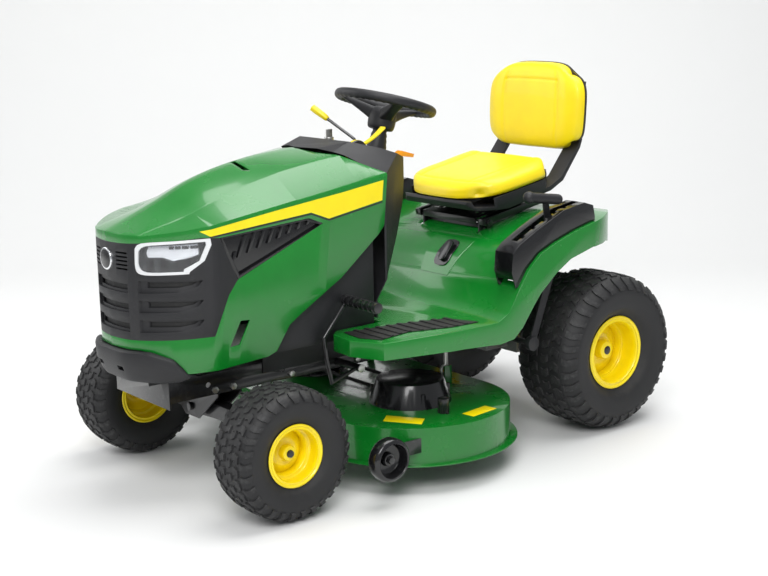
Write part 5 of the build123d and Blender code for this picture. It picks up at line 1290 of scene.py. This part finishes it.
def build_bumper(settings):
    """Moulded bumper: chamfered top, face that leans back and two small slots."""
    path = smooth_line([(206, -1388), (208, -1416), (184, -1458), (146, -1502), (76, -1540), (0, -1545)], 5)
    path = path + [(-x, y) for x, y in reversed(path[:-1])]
    rings = []
    for i, (x, y) in enumerate(path):
        ax, ay = path[max(i - 1, 0)]
        bx, by = path[min(i + 1, len(path) - 1)]
        length = math.hypot(bx - ax, by - ay)
        nx, ny = (by - ay) / length, -(bx - ax) / length
        nx, ny = (nx, ny) if nx * x + ny * (y + 1200) > 0 else (-nx, -ny)
        top = bumper_top(y)
        low = 362 if y < -1440 else 362 + 14 * (y + 1440) / 52
        span = top - low
        ring = [(-26, top - 2), (-9, top), (-1.5, top - 5), (0, top - 10), (-2, top - 0.45 * span),
                (-16, low + 0.16 * span), (-24, low + 2), (-30, low), (-36, low + 4), (-36, top - 8)]
        rings.append([(x + nx * out, y + ny * out, z) for out, z in ring])
    body = loft("bumper_moulding", rings)
    for x in (-70, 40):
        combine(body, prism("slot", [(x, 394), (x + 26, 394), (x + 26, 407), (x, 407)], "Y", -1600,
                            -1519), "DIFFERENCE")
    rounded(body, 2.0, 3, 30)
    return dressed(body, "charcoal_plastic", "hood", "charcoal_plastic", "bumper")


def bumper_top(y):
    """Height of the bumper's upper edge, which falls away towards the sides."""
    line = ((-1600, 454), (-1502, 454), (-1450, 433), (-1413, 392), (-1300, 384))
    for (y0, z0), (y1, z1) in zip(line, line[1:]):
        if y <= y1:
            return z0 + (z1 - z0) * (y - y0) / (y1 - y0)
    return line[-1][1]


# ---------------------------------------------------------------- small trim

FENDER_SLOPE = [(-475, 458), (-440, 512), (-395, 575), (-345, 617), (-278, 644)]


def build_labels(settings):
    """Two blank labels on the deck top, the fuel window with its panel and the plate below the seat."""
    for name, outline in (("deck_label_front", [(341, -842), (440, -780), (475, -821), (377, -883)]),
                          ("deck_label_rear", [(475, -667), (460, -565), (504, -558), (518, -662)])):
        label = prism(name, outline, "Z", 187.0, 188.9)
        rounded(label, 0.3, 2, 40)
        dressed(label, "yellow_plastic", "deck", "yellow_plastic")
    panel = slope_patch("fuel_panel", 14, 518, 618, lambda t: (84 - 4 * t, 64 + 30 * t), 1.8)
    dressed(panel, "green_paint", "chassis", "green_paint")
    window = slope_patch("fuel_window", 32, 540, 612,
                         lambda t: (94, 1 + 33 * (1 - abs(2 * t - 1) ** 4) ** (1 / 3)), 5.5)
    dressed(window, "gloss_black_plastic", "chassis", "gloss_black_plastic")
    apron = prism("seat_apron", [(-270, 600), (-264, 600), (-264, 661), (-270, 661)], "X", -130, 130)
    rounded(apron, 1.2, 2, 40)
    dressed(apron, "black_paint", "chassis", "black_paint")


def slope_patch(name, steps, low, high, shape, raised):
    """Plate that follows the sloping front of the fender; shape(t) gives its middle and half width."""
    rings = []
    for k in range(steps + 1):
        t = k / steps
        z = low + (high - low) * t
        y, across, up = fender_slope(z)
        x, half = shape(t)
        rings.append([(x + side * (half - inset), y + across * lift, z + up * lift)
                      for side, inset, lift in ((-1, 0, -3), (1, 0, -3), (1, 0, raised - 1), (1, 1, raised),
                                                (-1, 1, raised), (-1, 0, raised - 1))])
    patch = loft(name, rings)
    shaded(patch, 40)
    return patch


def fender_slope(z):
    """Where the fender's front slope lies at a height, and the slope's outward direction."""
    for (y0, z0), (y1, z1) in zip(FENDER_SLOPE, FENDER_SLOPE[1:]):
        if z <= z1:
            break
    size = math.hypot(y1 - y0, z1 - z0)
    return y0 + (y1 - y0) * (z - z0) / (z1 - z0), -(z1 - z0) / size, (y1 - y0) / size


# ---------------------------------------------------------------- stage, light and camera

def build_stage(settings):
    """Pale floor with a soft back wall, three soft lights and the camera."""
    bm = bmesh.new()
    back = 4200
    profile = [(y, 0.0) for y in (-7000, -2000, 2000)]
    profile += [(back - 1500 + 1500 * math.sin(a), 1500 - 1500 * math.cos(a))
                for a in [math.pi / 2 * k / 12 for k in range(13)]]
    profile.append((back, 6000))
    turn = Matrix.Rotation(math.radians(50), 3, "Z")
    rows = []
    for y, z in profile:
        row = [turn @ Vector((x, y, 0)) + Vector((0, -640, z - 0.4)) for x in (-9000, 9000)]
        rows.append([bm.verts.new(p) for p in row])
    for one, two in zip(rows, rows[1:]):
        bm.faces.new((one[0], one[1], two[1], two[0]))
    floor = new_object("studio_floor", bm)
    shaded(floor, 60)
    material = bpy.data.materials.new("pale_floor")
    material.use_nodes = True
    surface = material.node_tree.nodes["Principled BSDF"]
    surface.inputs["Base Color"].default_value = (0.80, 0.80, 0.79, 1.0)
    surface.inputs["Roughness"].default_value = 0.62
    clear_from_behind(material.node_tree, surface)
    if floor.data.polygons[0].normal.z < 0:
        floor.data.flip_normals()
    floor.data.materials.append(material)
    light("key_light", (3600, -3800, 4200), 2600, settings.light * 210)
    light("fill_light", (-3200, -3400, 2600), 3000, settings.light * 70)
    light("top_light", (400, 200, 4600), 3600, settings.light * 170)
    sky = bpy.data.worlds.new("studio_air")
    sky.use_nodes = True
    sky.node_tree.nodes["Background"].inputs["Color"].default_value = (0.93, 0.96, 1.0, 1.0)
    sky.node_tree.nodes["Background"].inputs["Strength"].default_value = 0.42
    bpy.context.scene.world = sky
    bpy.context.scene.view_settings.view_transform = "Standard"
    build_camera()


def clear_from_behind(tree, surface):
    """Lets the back of the wall through, so that the machine can be seen from every side."""
    shape = node(tree, "ShaderNodeNewGeometry", -100, 300)
    clear = node(tree, "ShaderNodeBsdfTransparent", 100, -200)
    choice = node(tree, "ShaderNodeMixShader", 300, 100)
    wire(tree, (shape, "Backfacing", choice, 0), (surface, "BSDF", choice, 1), (clear, "BSDF", choice, 2))
    tree.links.new(choice.outputs["Shader"], tree.nodes["Material Output"].inputs["Surface"])


def light(name, spot, size, power):
    """Square soft light that looks at the machine."""
    data = bpy.data.lights.new(name, "AREA")
    data.energy = power
    data.size = size * MM
    lamp = bpy.data.objects.new(name, data)
    bpy.context.scene.collection.objects.link(lamp)
    lamp.location = world(spot)
    aim = world((0, -640, 450)) - lamp.location
    lamp.rotation_mode = "QUATERNION"
    lamp.rotation_quaternion = aim.to_track_quat("-Z", "Y")


CAMERA_SPOT = (3469.8, -3318.4, 1402.8)
CAMERA_HEADING = 51.633
CAMERA_DIP = 11.840
CAMERA_ROLL = -1.1445
CAMERA_LENS = 67.12


def build_camera():
    """Camera to the front left of the machine at a standing person's waist height."""
    data = bpy.data.cameras.new("camera")
    data.lens = CAMERA_LENS
    data.sensor_width = 36.0
    camera = bpy.data.objects.new("camera", data)
    bpy.context.scene.collection.objects.link(camera)
    camera.location = world(CAMERA_SPOT)
    h, d, r = (math.radians(v) for v in (CAMERA_HEADING, CAMERA_DIP, CAMERA_ROLL))
    ahead = Vector((-math.sin(h) * math.cos(d), math.cos(h) * math.cos(d), -math.sin(d)))
    side = ahead.cross(Vector((0, 0, 1))).normalized()
    up = side.cross(ahead)
    right = side * math.cos(r) + up * math.sin(r)
    above = -side * math.sin(r) + up * math.cos(r)
    camera.rotation_mode = "QUATERNION"
    camera.rotation_quaternion = Matrix((right, above, -ahead)).transposed().to_quaternion()
    bpy.context.scene.camera = camera


# ---------------------------------------------------------------- add-on

class MowerSettings(bpy.types.PropertyGroup):
    """What a user of the panel may change."""
    rounding: bpy.props.FloatProperty(
        name="Edge rounding", description="Multiplies the rounding of moulded and pressed edges", default=1.0,
        min=0.2, max=2.0, subtype="FACTOR")
    front_blocks: bpy.props.IntProperty(
        name="Front tread pitches", description="Tread blocks round a front tyre", default=30, min=12, max=60)
    rear_blocks: bpy.props.IntProperty(
        name="Rear tread pitches", description="Tread blocks round a rear tyre", default=34, min=12, max=60)
    crown: bpy.props.FloatProperty(
        name="Cushion crown", description="How far the cushions swell in the middle", default=1.0, min=0.0,
        max=2.0,
        subtype="FACTOR")
    finger_bumps: bpy.props.IntProperty(
        name="Finger bumps", description="Bumps under the steering wheel's rim", default=42, min=12, max=80)
    light: bpy.props.FloatProperty(
        name="Light", description="Multiplies the power of the studio lights", default=1.0, min=0.1, max=4.0,
        subtype="FACTOR")


class MowerOperator:
    """What all the operators of this add-on share."""
    bl_options = {"REGISTER", "UNDO"}
    builders = ()

    def execute(self, context):
        for build in self.builders:
            build(context.scene.mower_settings)
        return {"FINISHED"}


class MOWER_OT_plain_parts(MowerOperator, bpy.types.Operator):
    """Round and paint the parts that keep the frame's shape"""
    bl_idname = "mower.plain_parts"
    bl_label = "Plain parts"
    builders = (build_plain_parts, build_labels)


class MOWER_OT_wheels(MowerOperator, bpy.types.Operator):
    """Build the turf tyres and pressed rims"""
    bl_idname = "mower.wheels"
    bl_label = "Wheels"
    builders = (build_wheels,)


class MOWER_OT_seat(MowerOperator, bpy.types.Operator):
    """Build the padded seat and back"""
    bl_idname = "mower.seat"
    bl_label = "Seat"
    builders = (build_seat_cushion, build_back_cushion)


class MOWER_OT_hood(MowerOperator, bpy.types.Operator):
    """Build the hood, its flash, grille and headlamps"""
    bl_idname = "mower.hood"
    bl_label = "Hood"
    builders = (build_hood, build_stripes, build_grille, build_headlamps, build_bumper)


class MOWER_OT_controls(MowerOperator, bpy.types.Operator):
    """Build the steering wheel and the controls on the dash"""
    bl_idname = "mower.controls"
    bl_label = "Controls"
    builders = (build_steering_wheel, build_dash_controls)


class MOWER_OT_stage(MowerOperator, bpy.types.Operator):
    """Build the floor, lights and camera"""
    bl_idname = "mower.stage"
    bl_label = "Stage"
    builders = (build_stage,)


OPERATORS = (MOWER_OT_plain_parts, MOWER_OT_wheels, MOWER_OT_seat, MOWER_OT_hood, MOWER_OT_controls,
             MOWER_OT_stage)


class MOWER_PT_panel(bpy.types.Panel):
    """Settings and buttons in the sidebar"""
    bl_label = "Mower"
    bl_space_type = "VIEW_3D"
    bl_region_type = "UI"
    bl_category = "Mower"

    def draw(self, context):
        settings = context.scene.mower_settings
        for name in ("rounding", "front_blocks", "rear_blocks", "crown", "finger_bumps", "light"):
            self.layout.prop(settings, name)
        for operator in OPERATORS:
            self.layout.operator(operator.bl_idname)


CLASSES = (MowerSettings,) + OPERATORS + (MOWER_PT_panel,)


def register():
    for each in CLASSES:
        bpy.utils.register_class(each)
    bpy.types.Scene.mower_settings = bpy.props.PointerProperty(type=MowerSettings)


def unregister():
    del bpy.types.Scene.mower_settings
    for each in reversed(CLASSES):
        bpy.utils.unregister_class(each)


def main():
    register()
    make_materials()
    for operator in OPERATORS:
        area, name = operator.bl_idname.split(".")
        getattr(getattr(bpy.ops, area), name)()


if __name__ == "__main__":
    main()
